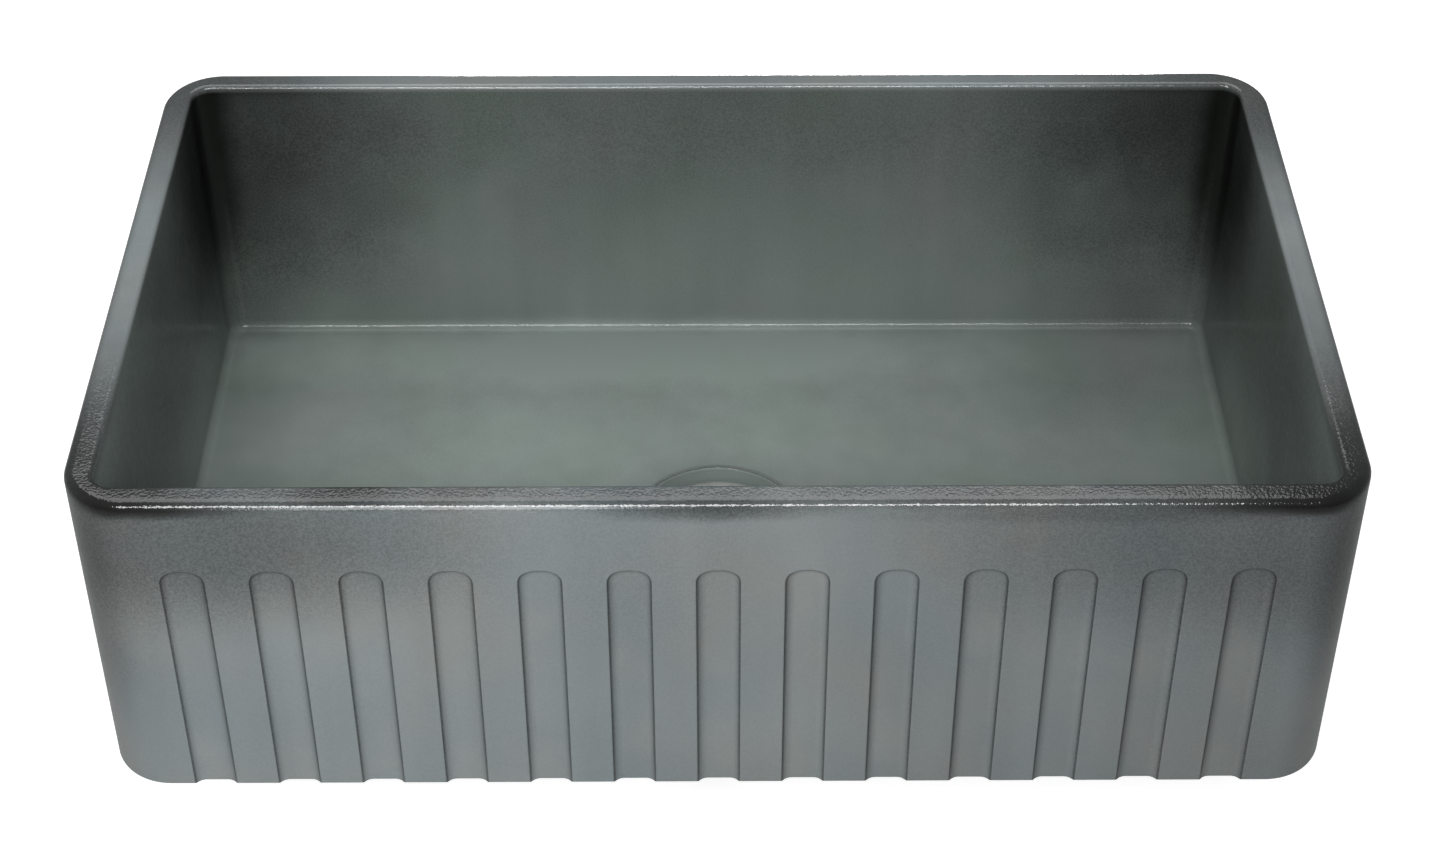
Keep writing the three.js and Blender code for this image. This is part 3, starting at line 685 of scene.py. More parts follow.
# %% [markdown]
# ## Clamp under the clay
#
# Putty seals the flange above the clay, and a rubber ring seals below it. A fibre ring lets the
# locknut turn without dragging the rubber. These three differ only in their sizes, so one loop
# makes them. The nut is die cast in zinc, with six lugs for a wrench: one lug is modelled, copied
# round and joined to the ring.

# %% Putty, rubber and fibre rings
PUTTY_INNER = 46.5 * MM
RING_INNER = NECK_RADIUS + FIT_GAP

for name, node, inner, break_edges in [
    ("putty_ring", "flange_seal", PUTTY_INNER, 0.5 * MM),
    ("gasket_ring", "rubber_gasket", RING_INNER, 0.7 * MM),
    ("fibre_ring", "friction_washer", RING_INNER, 0.15 * MM),
]:
    low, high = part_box(node)
    ring = square_ring(name, inner, (high.x - low.x) / 2, low.z, high.z, break_edges)
    finish_piece(ring, node)

# %% Zinc locknut
low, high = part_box("locknut")
LOCKNUT_BODY = 48 * MM
LOCKNUT_FLANGE = (high.x - low.x) / 2
LOCKNUT_FLANGE_THICKNESS = 2.4 * MM
LOCKNUT_CAST_EDGE = 0.5 * MM
LUG_COUNT = 6
LUG_WIDTH = 9 * MM
LUG_LENGTH = 7 * MM
LUG_CENTRE = 49.5 * MM
flange_low = high.z - LOCKNUT_FLANGE_THICKNESS
lug_top = flange_low + LOCKNUT_FLANGE_THICKNESS / 2
locknut = turned("cast_locknut", [
    (RING_INNER, low.z), (LOCKNUT_BODY, low.z), (LOCKNUT_BODY, flange_low),
    (LOCKNUT_FLANGE, flange_low), (LOCKNUT_FLANGE, high.z), (RING_INNER, high.z),
])
bpy.ops.object.select_all(action="DESELECT")
bpy.ops.mesh.primitive_cube_add(
    size=1, scale=(LUG_LENGTH, LUG_WIDTH, lug_top - low.z),
    location=(LUG_CENTRE, DRAIN_Y, (low.z + lug_top) / 2),
)
lugs = name_piece("locknut_lugs")
copies_round(lugs, LUG_COUNT)
combine(locknut, lugs, "UNION")
bevel_edges(locknut, LOCKNUT_CAST_EDGE)
finish_piece(locknut, "locknut")

# %% [markdown]
# ## Tailpiece
#
# The tube to the trap hangs on the outlet. Its flared end is squeezed against a soft washer by the
# coupling nut. That nut is cut from eight-sided bar, and its corners are turned off in a lathe. It
# could be bevelled, but a lathe cuts a cone and not a flat. So it is made as in the workshop: the
# block is held inside a turned shape, then joined to its collar and bored out.

# %% Tube and polymer washer
low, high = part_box("tailpiece")
TAIL_FLANGE = (high.x - low.x) / 2
TAIL_RADIUS = 19.05 * MM
TAIL_BORE = TAIL_RADIUS - SHEET
TAIL_FLANGE_THICKNESS = 1.5 * MM
POLYMER_EDGE = 0.4 * MM
tail_flange_low = high.z - TAIL_FLANGE_THICKNESS
tube = turned("tail_tube", [
    (TAIL_BORE, low.z), (TAIL_RADIUS, low.z), (TAIL_RADIUS, tail_flange_low),
    (TAIL_FLANGE, tail_flange_low), (TAIL_FLANGE, high.z), (TAIL_BORE, high.z),
], break_edges=FILED_EDGE)
finish_piece(tube, "tailpiece")
low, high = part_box("tailpiece_washer")
soft_washer = square_ring("polymer_ring", TAIL_BORE, TAIL_FLANGE, low.z, high.z, POLYMER_EDGE)
finish_piece(soft_washer, "tailpiece_washer")

# %% A block sawn from bar, with its corners turned off
CUT_MARGIN = 2 * MM


def faceted(name, sides, radius, low_z, high_z):
    """A block with many equal sides, as sawn from bar."""
    bpy.ops.object.select_all(action="DESELECT")
    bpy.ops.mesh.primitive_cylinder_add(
        vertices=sides, radius=radius, depth=high_z - low_z, location=(0, DRAIN_Y, (low_z + high_z) / 2)
    )
    return name_piece(name)


def chamfer_corners(piece, radius, chamfer, low_z, high_z):
    """Turns the corners off a faceted block at both ends."""
    inner = radius - chamfer
    envelope = turned("chamfer_tool", [
        (inner, low_z), (radius, low_z + chamfer / 2), (radius, high_z - chamfer / 2), (inner, high_z),
    ], solid=True)
    combine(piece, envelope, "INTERSECT")


print("cutting tools reach past a piece by", CUT_MARGIN / MM, "mm")

# %% Coupling nut
low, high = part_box("coupling_nut")
COUPLING_SIDES = 8
COUPLING_RADIUS = (high.x - low.x) / 2
COUPLING_COLLAR = 28.5 * MM
COUPLING_COLLAR_HEIGHT = 2 * MM
COUPLING_CHAMFER = 1.6 * MM
COUPLING_LIP = 2.4 * MM
body_top = high.z - COUPLING_COLLAR_HEIGHT
coupling = faceted("slip_nut", COUPLING_SIDES, COUPLING_RADIUS, low.z, body_top)
chamfer_corners(coupling, COUPLING_RADIUS, COUPLING_CHAMFER, low.z, body_top)
collar = [(COUPLING_COLLAR, body_top - CUT_MARGIN), (COUPLING_COLLAR, high.z)]
combine(coupling, turned("nut_collar", collar, solid=True), "UNION")
bore = [
    (TAIL_RADIUS + FIT_GAP, low.z - CUT_MARGIN), (TAIL_RADIUS + FIT_GAP, low.z + COUPLING_LIP),
    (NIPPLE_RADIUS + FIT_GAP, low.z + COUPLING_LIP), (NIPPLE_RADIUS + FIT_GAP, high.z + CUT_MARGIN),
]
combine(coupling, turned("nut_bore", bore, solid=True), "DIFFERENCE")
bevel_edges(coupling, FILED_EDGE)
finish_piece(coupling, "coupling_nut")

# %% [markdown]
# ## Lift-out basket
#
# The sieve is pressed from thin sheet and punched all over. Its holes could be a picture, but the
# basket is lifted to the eye, and real holes show the light behind them. They are made as a punch
# makes them: one ring of drills is copied round, and a boolean takes it away, row by row.

# %% Pressed sieve
low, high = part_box("basket_cup")
BASKET_LIP_RADIUS = (high.x - low.x) / 2
BASKET_TOP = 37 * MM
BASKET_BASE = 30 * MM
BASKET_SHEET = 1 * MM
BASKET_CORNER = 3 * MM
POST_BORE = 3.3 * MM
corner_radius = BASKET_BASE - BASKET_CORNER
corner_z = low.z + BASKET_CORNER
section = [(POST_BORE, low.z)]
section += arc(corner_radius, corner_z, BASKET_CORNER, -90, -10)
section += [
    (BASKET_TOP, high.z - BASKET_SHEET), (BASKET_LIP_RADIUS, high.z - BASKET_SHEET),
    (BASKET_LIP_RADIUS, high.z), (BASKET_TOP - BASKET_SHEET, high.z),
]
section += arc(corner_radius, corner_z, BASKET_CORNER - BASKET_SHEET, -10, -90)
section += [(POST_BORE, low.z + BASKET_SHEET)]
sieve = turned("pressed_sieve", section, break_edges=FILED_EDGE)
print("sieve before its holes:", len(sieve.data.polygons), "faces")

# %% Holes punched in the sieve
SIDE_ROWS = 3
SIDE_HOLES = 30
SIDE_HOLE_RADIUS = 1.7 * MM
BASE_RINGS = [(12 * MM, 12), (18 * MM, 18), (24 * MM, 24)]
BASE_HOLE_RADIUS = 1.5 * MM
DRILL_SIDES = 12


def drill_ring(radius, length, place, turn, count):
    """A ring of drills: one cylinder at a place, copied round the drain's axis."""
    bpy.ops.object.select_all(action="DESELECT")
    bpy.ops.mesh.primitive_cylinder_add(
        vertices=DRILL_SIDES, radius=radius, depth=length, location=place, rotation=(0, turn, 0)
    )
    drills = name_piece("drills")
    copies_round(drills, count)
    return drills


for ring_radius, count in BASE_RINGS:
    place = (ring_radius, DRAIN_Y, low.z)
    combine(sieve, drill_ring(BASE_HOLE_RADIUS, 4 * BASKET_SHEET, place, 0, count), "DIFFERENCE")
wall_low = low.z + 2 * BASKET_CORNER
wall_high = high.z - 2 * BASKET_CORNER
for row in range(SIDE_ROWS):
    z = wall_low + (wall_high - wall_low) * row / (SIDE_ROWS - 1)
    place = ((BASKET_BASE + BASKET_TOP) / 2, DRAIN_Y, z)
    length = 2 * (BASKET_TOP - BASKET_BASE)
    combine(sieve, drill_ring(SIDE_HOLE_RADIUS, length, place, math.pi / 2, SIDE_HOLES), "DIFFERENCE")
finish_piece(sieve, "basket_cup")

# %% [markdown]
# ## Stopper and post
#
# A moulded rubber disc closes the outlet when the basket is down. It is held on the basket's post
# by a steel washer and a hexagonal nut. The post is turned in steps, so that each piece on it has a
# shoulder to sit on. All of them are turned sections again, and the nut is sawn from bar like the
# coupling nut.

# %% Moulded stopper and its washer
low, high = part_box("basket_stopper")
STOPPER_RADIUS = (high.x - low.x) / 2
STOPPER_ROUND = 1.2 * MM
STOPPER_EDGE = 0.5 * MM
WASHER_EDGE = 0.25 * MM
stopper_lip = STOPPER_RADIUS - STOPPER_ROUND
stopper = turned("rubber_stopper", [
    (POST_BORE, low.z), (stopper_lip - STOPPER_ROUND, low.z), (STOPPER_RADIUS, low.z + STOPPER_ROUND),
    (STOPPER_RADIUS, low.z + 2 * STOPPER_ROUND), (stopper_lip, high.z), (POST_BORE, high.z),
], break_edges=STOPPER_EDGE)
finish_piece(stopper, "basket_stopper")
low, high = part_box("stopper_backing_washer")
backing = square_ring("steel_backing_ring", POST_BORE, (high.x - low.x) / 2, low.z, high.z, WASHER_EDGE)
finish_piece(backing, "stopper_backing_washer")

# %% Hexagonal nut
low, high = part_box("post_nut")
NUT_SIDES = 6
NUT_RADIUS = (high.y - low.y) / 2
NUT_CHAMFER = 0.8 * MM
NUT_EDGE = 0.15 * MM
nut = faceted("brass_hex_nut", NUT_SIDES, NUT_RADIUS, low.z, high.z)
chamfer_corners(nut, NUT_RADIUS, NUT_CHAMFER, low.z, high.z)
bore = [(POST_BORE, low.z - CUT_MARGIN), (POST_BORE, high.z + CUT_MARGIN)]
combine(nut, turned("hex_bore", bore, solid=True), "DIFFERENCE")
bevel_edges(nut, NUT_EDGE)
finish_piece(nut, "post_nut")

# %% Stepped post
low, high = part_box("basket_post")
POST_TOP = high.z
POST_RADIUS = 3 * MM
POST_SHOULDER = (high.x - low.x) / 2
POST_FOOT = 2.2 * MM
POST_SIDES = 48
FOOT_TOP = -44.3 * MM
SHOULDER_Z = -31.1 * MM
post = turned("stepped_post", [
    (POST_FOOT, low.z), (POST_FOOT, FOOT_TOP), (POST_RADIUS, FOOT_TOP + POST_RADIUS - POST_FOOT),
    (POST_RADIUS, SHOULDER_Z), (POST_SHOULDER, SHOULDER_Z), (POST_SHOULDER, high.z),
], solid=True, break_edges=FILED_EDGE, sides=POST_SIDES)
finish_piece(post, "basket_post")

# %% [markdown]
# ## Knob and spring clip
#
# The knob is turned from brass: a thin neck that opens in a curve into a round head, with a dish in
# its top. Fingers lift the basket by it. At the other end of the post a bent steel strip springs
# open in the cross and holds the basket down. A strip is a line with a width and a thickness. So
# one edge is extruded along the bends, and a modifier gives it the sheet's thickness.

# %% Turned knob
low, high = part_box("basket_knob")
KNOB_RADIUS = (high.x - low.x) / 2
KNOB_SOCKET = POST_SHOULDER + FIT_GAP
KNOB_NECK = KNOB_SOCKET + 1.3 * MM
KNOB_NECK_CURVE = (180, 125)
KNOB_ROUND = 1.6 * MM
KNOB_EDGE_CURVE = (-60, 80)
KNOB_HEAD = 5 * MM
KNOB_DISH = 5.5 * MM
KNOB_DISH_DEPTH = 0.8 * MM
socket_top = POST_TOP + FIT_GAP
head_low = high.z - KNOB_HEAD
section = [(KNOB_SOCKET, socket_top), (KNOB_SOCKET, low.z), (KNOB_NECK, low.z)]
section += arc(KNOB_RADIUS, head_low - KNOB_ROUND, KNOB_RADIUS - KNOB_NECK, *KNOB_NECK_CURVE)
section += arc(KNOB_RADIUS - KNOB_ROUND, head_low + 2 * KNOB_ROUND, KNOB_ROUND, *KNOB_EDGE_CURVE)
section += [(KNOB_DISH, high.z), (KNOB_DISH - KNOB_DISH_DEPTH, high.z - KNOB_DISH_DEPTH)]
knob = turned("turned_knob", section, solid=True)
finish_piece(knob, "basket_knob")

# %% Bent spring clip
low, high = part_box("spring_clip")
CLIP_THICKNESS = 0.5 * MM
CLIP_WIDTH = high.y - low.y
CLIP_BOW = high.x - CLIP_THICKNESS / 2
CLIP_GRIP = POST_FOOT + FIT_GAP + CLIP_THICKNESS / 2
CLIP_EDGE = 0.12 * MM
WAIST_Z = -50 * MM
BOW_Z = -53.4 * MM
clip_foot = low.z + CLIP_THICKNESS / 2
right_side = [(CLIP_GRIP, high.z), (CLIP_GRIP, WAIST_Z), (CLIP_BOW, BOW_Z), (CLIP_GRIP, clip_foot)]
path = right_side + [(-x, z) for x, z in reversed(right_side)]
bpy.ops.object.select_all(action="DESELECT")
bpy.ops.mesh.primitive_plane_add(size=CLIP_WIDTH, location=(path[0][0], DRAIN_Y, path[0][1]))
clip = name_piece("bent_clip")
start_edit(clip)
choose(clip, "VERT", lambda vert: vert.co.x > path[0][0])
bpy.ops.mesh.delete(type="VERT")
bpy.ops.mesh.select_all(action="SELECT")
bpy.ops.transform.translate(value=(CLIP_WIDTH / 2, 0, 0))
for (x, z), (next_x, next_z) in zip(path, path[1:]):
    bpy.ops.mesh.extrude_region_move(TRANSFORM_OT_translate={"value": (next_x - x, 0, next_z - z)})
end_edit()
apply_modifier(clip, "SOLIDIFY", thickness=CLIP_THICKNESS, offset=0, use_even_offset=True)
bevel_edges(clip, CLIP_EDGE)
finish_piece(clip, "spring_clip")

# %% [markdown]
# ## Materials
#
# Each material starts from what the real one is. Colours are written as sRGB hex values, as a
# picker shows them, and one function turns them to the linear values that shaders use. Another adds
# a node with its settings, and fills its inputs with values or with links to other nodes.

# %% Colours
def linear(hex_colour):
    """'#rrggbb' as the linear colour that a shader socket holds."""
    channels = [int(hex_colour[i:i + 2], 16) / 255 for i in (1, 3, 5)]
    return [c / 12.92 if c <= 0.04045 else ((c + 0.055) / 1.055) ** 2.4 for c in channels] + [1]


def grey(value):
    """A linear grey."""
    return (value, value, value, 1)


print("a picker's middle grey is", round(linear("#808080")[0], 3), "in linear light")

# %% Materials and their nodes
def new_material(name):
    """A material with only a Principled shader and its output."""
    material = bpy.data.materials.new(name)
    material.use_nodes = True
    return material, material.node_tree, material.node_tree.nodes["Principled BSDF"]


def fill(tree, node, values=None, links=None):
    """Sets the values of a node's inputs, and links other inputs to their sources."""
    for socket, value in (values or {}).items():
        node.inputs[socket].default_value = value
    for socket, source in (links or {}).items():
        tree.links.new(source, node.inputs[socket])


def add(tree, kind, settings=None, values=None, links=None, stops=None):
    """Adds one node, sets its options and fills its inputs. Stops are for a colour ramp."""
    node = tree.nodes.new(kind)
    for name, value in (settings or {}).items():
        setattr(node, name, value)
    fill(tree, node, values, links)
    for number, (place, colour) in enumerate(stops or []):
        elements = node.color_ramp.elements
        element = elements[number] if number < 2 else elements.new(place)
        element.position = place
        element.color = colour
    return node


print("materials from the frame:", len(bpy.data.materials))

# %% [markdown]
# ## Reactive glaze
#
# The glaze on the clay is satin, and its colour depends on how thick it lies. It runs thin and breaks
# to charcoal on the rim's corners and under the rim. The floor is lighter left of the drain and darker
# at the right. Some clouds are painted light and shade instead. In the bowl, the upright corners, the
# side walls and the back wall's ends and top are painted darker as painted shade, with a darker glaze
# in the corners. The floor along the back wall is painted lighter where the back wall's shadow falls.
# Outside, the middle of each side rim is a painted sheen, and the foot of the apron is painted lighter
# as light thrown up from the floor. A photograph of a real one could be painted on, but clouds placed
# in the object's own space look the same from every side. Each cloud is an ellipsoid whose edge a
# noise pushes in and out, and it says what share of the glaze's lightness is left in its middle.

# %% Where the glaze lies thin or thick outside, with a painted sheen and painted light
# Each cloud: what it is, whether it lies on both sides alike, its middle in mm, its reach in mm,
# and the lightness in its middle.
CLOUDS_AND_PAINTED_LIGHT_OUTSIDE = [
    ("rim at the front corners", True, (414, -246, 262), (115, 200, 26), 0.06),
    ("round under the front corners", True, (390, -252, 251), (120, 20, 9), 0.05),
    ("rim at the back corners", True, (404, 235, 258), (170, 160, 16), 0.42),
    # painted sheen: the middle of each side rim is painted lighter, a painted reflection
    ("rim at the middle of a side", True, (410, 20, 258), (30, 110, 14), 1.3),
    ("front rim", False, (0, -244, 260), (700, 26, 13), 0.35),
    ("front rim, right", False, (350, -244, 258), (150, 30, 16), 0.5),
    ("smudge on the front rim", False, (-236, -242, 258), (48, 26, 12), 0.3),
    ("under the front rim", False, (0, -256, 250), (105, 24, 12), 0.38),
    ("under the front rim, right", False, (250, -258, 247), (220, 24, 12), 0.75),
    ("apron's top left corner", False, (-340, -251, 225), (250, 50, 100), 0.45),
    ("apron's top right", False, (360, -251, 225), (290, 50, 120), 0.55),
    # painted light: the apron is painted lighter toward its foot, where light thrown up from the floor
    # falls
    ("apron's foot", False, (-220, -251, 10), (560, 50, 170), 1.25),
]
print("clouds outside:", len(CLOUDS_AND_PAINTED_LIGHT_OUTSIDE))

# %% The same in the bowl, where most clouds are painted shade and painted light
CLOUDS_AND_PAINTED_SHADE_IN_BOWL = [
    # painted shade: the upright corners, the side walls and the back wall's ends, upper corners and top
    # are painted darker where shade falls in the bowl, and in the corners the glaze is darker too
    ("upright corner", True, (398, 230, 235), (34, 34, 170), 0.02),
    ("side wall near the back", True, (405, 190, 190), (44, 130, 210), 0.1),
    ("side wall", True, (405, 20, 175), (38, 460, 170), 0.33),
    ("back wall's end", True, (420, 240, 160), (270, 44, 240), 0.28),
    ("back wall's upper corner", True, (370, 240, 262), (180, 44, 120), 0.6),
    ("top of the back wall", False, (0, 240, 262), (1200, 40, 235), 0.55),
    ("floor, left of the drain", False, (-60, 60, 26), (340, 240, 30), 1.3),
    # painted light: the floor along the back wall is painted lighter where the back wall's shadow falls on
    # it
    ("floor along the back wall", False, (-80, 200, 24), (540, 64, 16), 1.4),
    ("floor, right", False, (350, 90, 26), (180, 280, 30), 0.85),
]
print("clouds in the bowl:", len(CLOUDS_AND_PAINTED_SHADE_IN_BOWL))

# %% One cloud, many factors and a noise
CLOUD_CORE = 0.2
NOISE_LOW = 0.3
NOISE_HIGH = 0.7


def cloud(tree, place, middle, reach, lightness):
    """A factor that is 1 outside an ellipsoid and falls or rises softly to its middle."""
    local = add(
        tree, "ShaderNodeMapping", {"vector_type": "TEXTURE"},
        {"Location": [value * MM for value in middle], "Scale": [value * MM for value in reach]},
        {"Vector": place},
    )
    distance = add(
        tree, "ShaderNodeVectorMath", {"operation": "LENGTH"}, links={0: local.outputs["Vector"]}
    )
    return add(
        tree, "ShaderNodeMapRange", {"interpolation_type": "SMOOTHSTEP"},
        {"From Min": CLOUD_CORE, "From Max": 1, "To Min": lightness, "To Max": 1},
        {"Value": distance.outputs["Value"]},
    ).outputs["Result"]


def product(tree, factors):
    """All factors multiplied together."""
    result = factors[0]
    for factor in factors[1:]:
        result = add(
            tree, "ShaderNodeMath", {"operation": "MULTIPLY"}, links={0: result, 1: factor}
        ).outputs["Value"]
    return result


def spread(tree, place, size, limits, detail=2):
    """Noise with grains of a real size, spread between two values."""
    noise = add(
        tree, "ShaderNodeTexNoise", values={"Scale": 1 / size, "Detail": detail}, links={"Vector": place}
    )
    return add(
        tree, "ShaderNodeMapRange",
        values={"From Min": NOISE_LOW, "From Max": NOISE_HIGH, "To Min": limits[0], "To Max": limits[1]},
        links={"Value": noise.outputs["Fac"]},
    ).outputs["Result"]


print("a cloud is full within", CLOUD_CORE, "of its reach")

# %% [markdown]
# A cloud's edge would be too even, so a slow noise pushes the place where the clouds are looked up.
# Where both sides of the sink are alike, that place is folded at the middle line. Two more values
# say which part of the sink a point is on: how far it is from the apron's face, and whether it is
# on top of the rim.

# %% Pushed places, and parts of the sink
CLOUD_SWIRL = (12 * MM, 12 * MM, 4 * MM)
CLOUD_SWIRL_SIZE = 60 * MM
APRON_BLEND = (4 * MM, 22 * MM)
RIM_BLEND = (HEIGHT - 6 * MM, HEIGHT - 2 * MM)


def pushed_places(tree, place):
    """The place pushed about by a slow noise, and the same with x counted from the middle line."""
    swirl = add(
        tree, "ShaderNodeTexNoise", values={"Scale": 1 / CLOUD_SWIRL_SIZE, "Detail": 3},
        links={"Vector": place},
    )
    push = add(
        tree, "ShaderNodeMapRange", {"data_type": "FLOAT_VECTOR"},
        {9: [-size for size in CLOUD_SWIRL], 10: CLOUD_SWIRL},
        {"Vector": swirl.outputs["Color"]},
    )
    pushed = add(
        tree, "ShaderNodeVectorMath", {"operation": "ADD"}, links={0: place, 1: push.outputs["Vector"]}
    ).outputs["Vector"]
    split = add(tree, "ShaderNodeSeparateXYZ", links={"Vector": pushed})
    aside = add(tree, "ShaderNodeMath", {"operation": "ABSOLUTE"}, links={0: split.outputs["X"]})
    folded = add(
        tree, "ShaderNodeCombineXYZ",
        links={"X": aside.outputs["Value"], "Y": split.outputs["Y"], "Z": split.outputs["Z"]},
    ).outputs["Vector"]
    return pushed, folded


def rise(tree, place, axis, start, end):
    """A value that rises from 0 to 1 between two places along an axis."""
    split = add(tree, "ShaderNodeSeparateXYZ", links={"Vector": place})
    return add(
        tree, "ShaderNodeMapRange", values={"From Min": start, "From Max": end},
        links={"Value": split.outputs[axis]},
    ).outputs["Result"]


print(f"the rim's top counts from z {RIM_BLEND[0] * 1000:.0f} mm up")

# %% [markdown]
# The flutes' walls are steep, so the glaze runs off them and leaves a thin dark line along each
# one, and the same line is painted shade where the wall drops into the groove. The depth behind the
# apron's face finds them: it is more than nothing and less than the flute's floor only there, and
# at the round corners, which a gate on x and z leaves out.

# %% Dark line on the flutes' walls: glaze break and painted shade
FLUTE_LINE = 0.28
FLUTE_ROW_HALF = (FLUTE_COUNT - 1) / 2 * FLUTE_PITCH + FLUTE_HALF_WIDTH
FLUTE_LINE_STOPS = [(0.03, 0), (0.12, 1), (0.3, 0.8), (0.55, 0.2), (0.9, 0)]


def flute_lines_and_shade(tree, place):
    """A factor that is lower on the upper part of the flutes' walls, as glaze break and painted shade."""
    line = add(
        tree, "ShaderNodeValToRGB", links={"Fac": rise(tree, place, "Y", FRONT, FRONT + FLUTE_DEPTH)},
        stops=[(depth, grey(darkness)) for depth, darkness in FLUTE_LINE_STOPS],
    )
    split = add(tree, "ShaderNodeSeparateXYZ", links={"Vector": place})
    across = add(tree, "ShaderNodeMath", {"operation": "ABSOLUTE"}, links={0: split.outputs["X"]})
    beside = add(
        tree, "ShaderNodeMath", {"operation": "LESS_THAN"}, {1: FLUTE_ROW_HALF + MM},
        {0: across.outputs["Value"]},
    )
    below = add(
        tree, "ShaderNodeMath", {"operation": "LESS_THAN"}, {1: FLUTE_TOP_Z + MM},
        {0: split.outputs["Z"]},
    )
    dark = product(tree, [line.outputs["Color"], beside.outputs["Value"], below.outputs["Value"]])
    return add(
        tree, "ShaderNodeMapRange", values={"To Min": 1, "To Max": FLUTE_LINE}, links={"Value": dark}
    ).outputs["Result"]


print("lightness left on a flute's wall:", FLUTE_LINE)

# %% [markdown]
# The glaze also leaves the lip of the drain recess, and it lies a little thinner on the floor close
# round it. The recess's wall under the lip is painted lighter, up to twice, as painted light where
# the recess lies in shade. A ramp along the distance from the drain's axis draws all three. A ramp's
# colours lie between black and white, so it holds half of the factor, and its result is doubled.

# %% Dark line on the lip of the drain recess, and painted light on its wall
DRAIN_HALO = 30 * MM
# the first two stops, doubled, paint the recess's wall lighter: painted light in the recess's shade
DRAIN_STOPS = [(0, 0.8), (0.09, 1), (0.12, 0.2), (0.17, 0.3), (0.24, 0.45), (1, 0.5)]


def centred(tree, place):
    """The place, counted from the drain's axis."""
    return add(
        tree, "ShaderNodeMapping", {"vector_type": "TEXTURE"}, {"Location": (0, DRAIN_Y, 0)},
        {"Vector": place},
    ).outputs["Vector"]


def from_axis(tree, around):
    """The distance from the drain's axis."""
    flat = add(tree, "ShaderNodeVectorMath", {"operation": "MULTIPLY"}, {1: (1, 1, 0)}, {0: around})
    return add(
        tree, "ShaderNodeVectorMath", {"operation": "LENGTH"}, links={0: flat.outputs["Vector"]}
    ).outputs["Value"]


def drain_rings_and_recess_light(tree, place):
    """A factor that is lower on the recess's lip, a little lower on the floor round it, and higher on the
    recess's wall as painted light.
    """
    out = add(
        tree, "ShaderNodeMapRange",
        values={"From Min": RECESS_FOOT, "From Max": RECESS_FOOT + DRAIN_HALO},
        links={"Value": from_axis(tree, centred(tree, place))},
    )
    ring = add(
        tree, "ShaderNodeValToRGB", links={"Fac": out.outputs["Result"]},
        stops=[(share, grey(half)) for share, half in DRAIN_STOPS],
    )
    return add(
        tree, "ShaderNodeMath", {"operation": "MULTIPLY"}, {1: 2}, {0: ring.outputs["Color"]}
    ).outputs["Value"]


print(f"the floor is darker to {1000 * (RECESS_FOOT + DRAIN_HALO):.0f} mm from the drain's axis")

# %% [markdown]
# All these factors multiply to one lightness, with the painted light and shade in it. Two slow
# noises are added: wide patches, and narrow runs that gravity draws down the walls. Where the result
# is low, on thin glaze and in the painted shade, the fired clay's grit breaks through as fine specks.

# %% Lightness of the glaze
APRON_LIGHTNESS = 0.84
PATCH_SIZE = 190 * MM
PATCHES = (0.9, 1.1)
RUN_SIZE = 26 * MM
RUN_STRETCH = 14
RUNS = (0.96, 1.04)


def glaze_with_painted_light_and_shade(tree, place, pushed, folded, inside, on_rim):
    """What share of a plain glaze's lightness there is at each point, before the specks, with the painted
    light and shade in it.
    """
    outside, in_bowl = [
        product(tree, [
            cloud(tree, folded if both_sides else pushed, *rest) for label, both_sides, *rest in clouds
        ])
        for clouds in (CLOUDS_AND_PAINTED_LIGHT_OUTSIDE, CLOUDS_AND_PAINTED_SHADE_IN_BOWL)
    ]
    bowl_only = add(tree, "ShaderNodeMix", values={"B": 1.0}, links={"Factor": on_rim, "A": in_bowl})
    apron = add(tree, "ShaderNodeMapRange", values={"To Min": APRON_LIGHTNESS}, links={"Value": inside})
    stretched = add(
        tree, "ShaderNodeMapping", {"vector_type": "TEXTURE"}, {"Scale": (1, 1, RUN_STRETCH)},
        {"Vector": place},
    ).outputs["Vector"]
    return product(tree, [
        outside,
        bowl_only.outputs["Result"],
        spread(tree, place, PATCH_SIZE, PATCHES, 1),
        spread(tree, stretched, RUN_SIZE, RUNS, 1),
        apron.outputs["Result"],
        flute_lines_and_shade(tree, place),
        drain_rings_and_recess_light(tree, place),
    ])


print("lightness of the apron:", APRON_LIGHTNESS)

# %% Specks where the glaze is thin
SPECK_SIZE = 1.5 * MM
SPECKS = (0.68, 1.32)
THIN_AT = 0.3
THICK_AT = 0.9
THICK_SPECKS = 0.15


def thin_glaze_and_shade(tree, lightness):
    """1 where the lightness is low, on thin glaze and in painted shade, and little where it is high."""
    return add(
        tree, "ShaderNodeMapRange",
        values={"From Min": THIN_AT, "From Max": THICK_AT, "To Min": 1, "To Max": THICK_SPECKS},
        links={"Value": lightness},
    ).outputs["Result"]


def speckled(tree, place, lightness, thin):
    """The lightness with fine specks, strongest where it is low: on thin glaze and in painted shade."""
    specks = add(
        tree, "ShaderNodeMix", values={"A": 1.0},
        links={"Factor": thin, "B": spread(tree, place, SPECK_SIZE, SPECKS)},
    )
    return product(tree, [lightness, specks.outputs["Result"]])


print("specks:", SPECK_SIZE / MM, "mm")

# %% [markdown]
# The colour goes from charcoal to a pale grey with the lightness. That grey isn't the same all
# over: it is bluish on the apron and greenish in the bowl, with the tones between in slow patches.

# %% Colour of the glaze
# charcoal of thin glaze, and also the dark that the painted shade in the bowl reaches
THIN_GLAZE_AND_SHADE = "#10110f"
GLAZE_TONES = [(0.0, "#8c979a"), (0.35, "#959a99"), (0.65, "#8f9a96"), (1.0, "#8d9a90")]
PALEST = 1.5
TONE_ON_APRON = 0.2
TONE_IN_BOWL = 0.65
TONE_ON_RIM = 0.2
TONE_PATCH_SIZE = 120 * MM
TONE_PATCHES = (-0.2, 0.2)


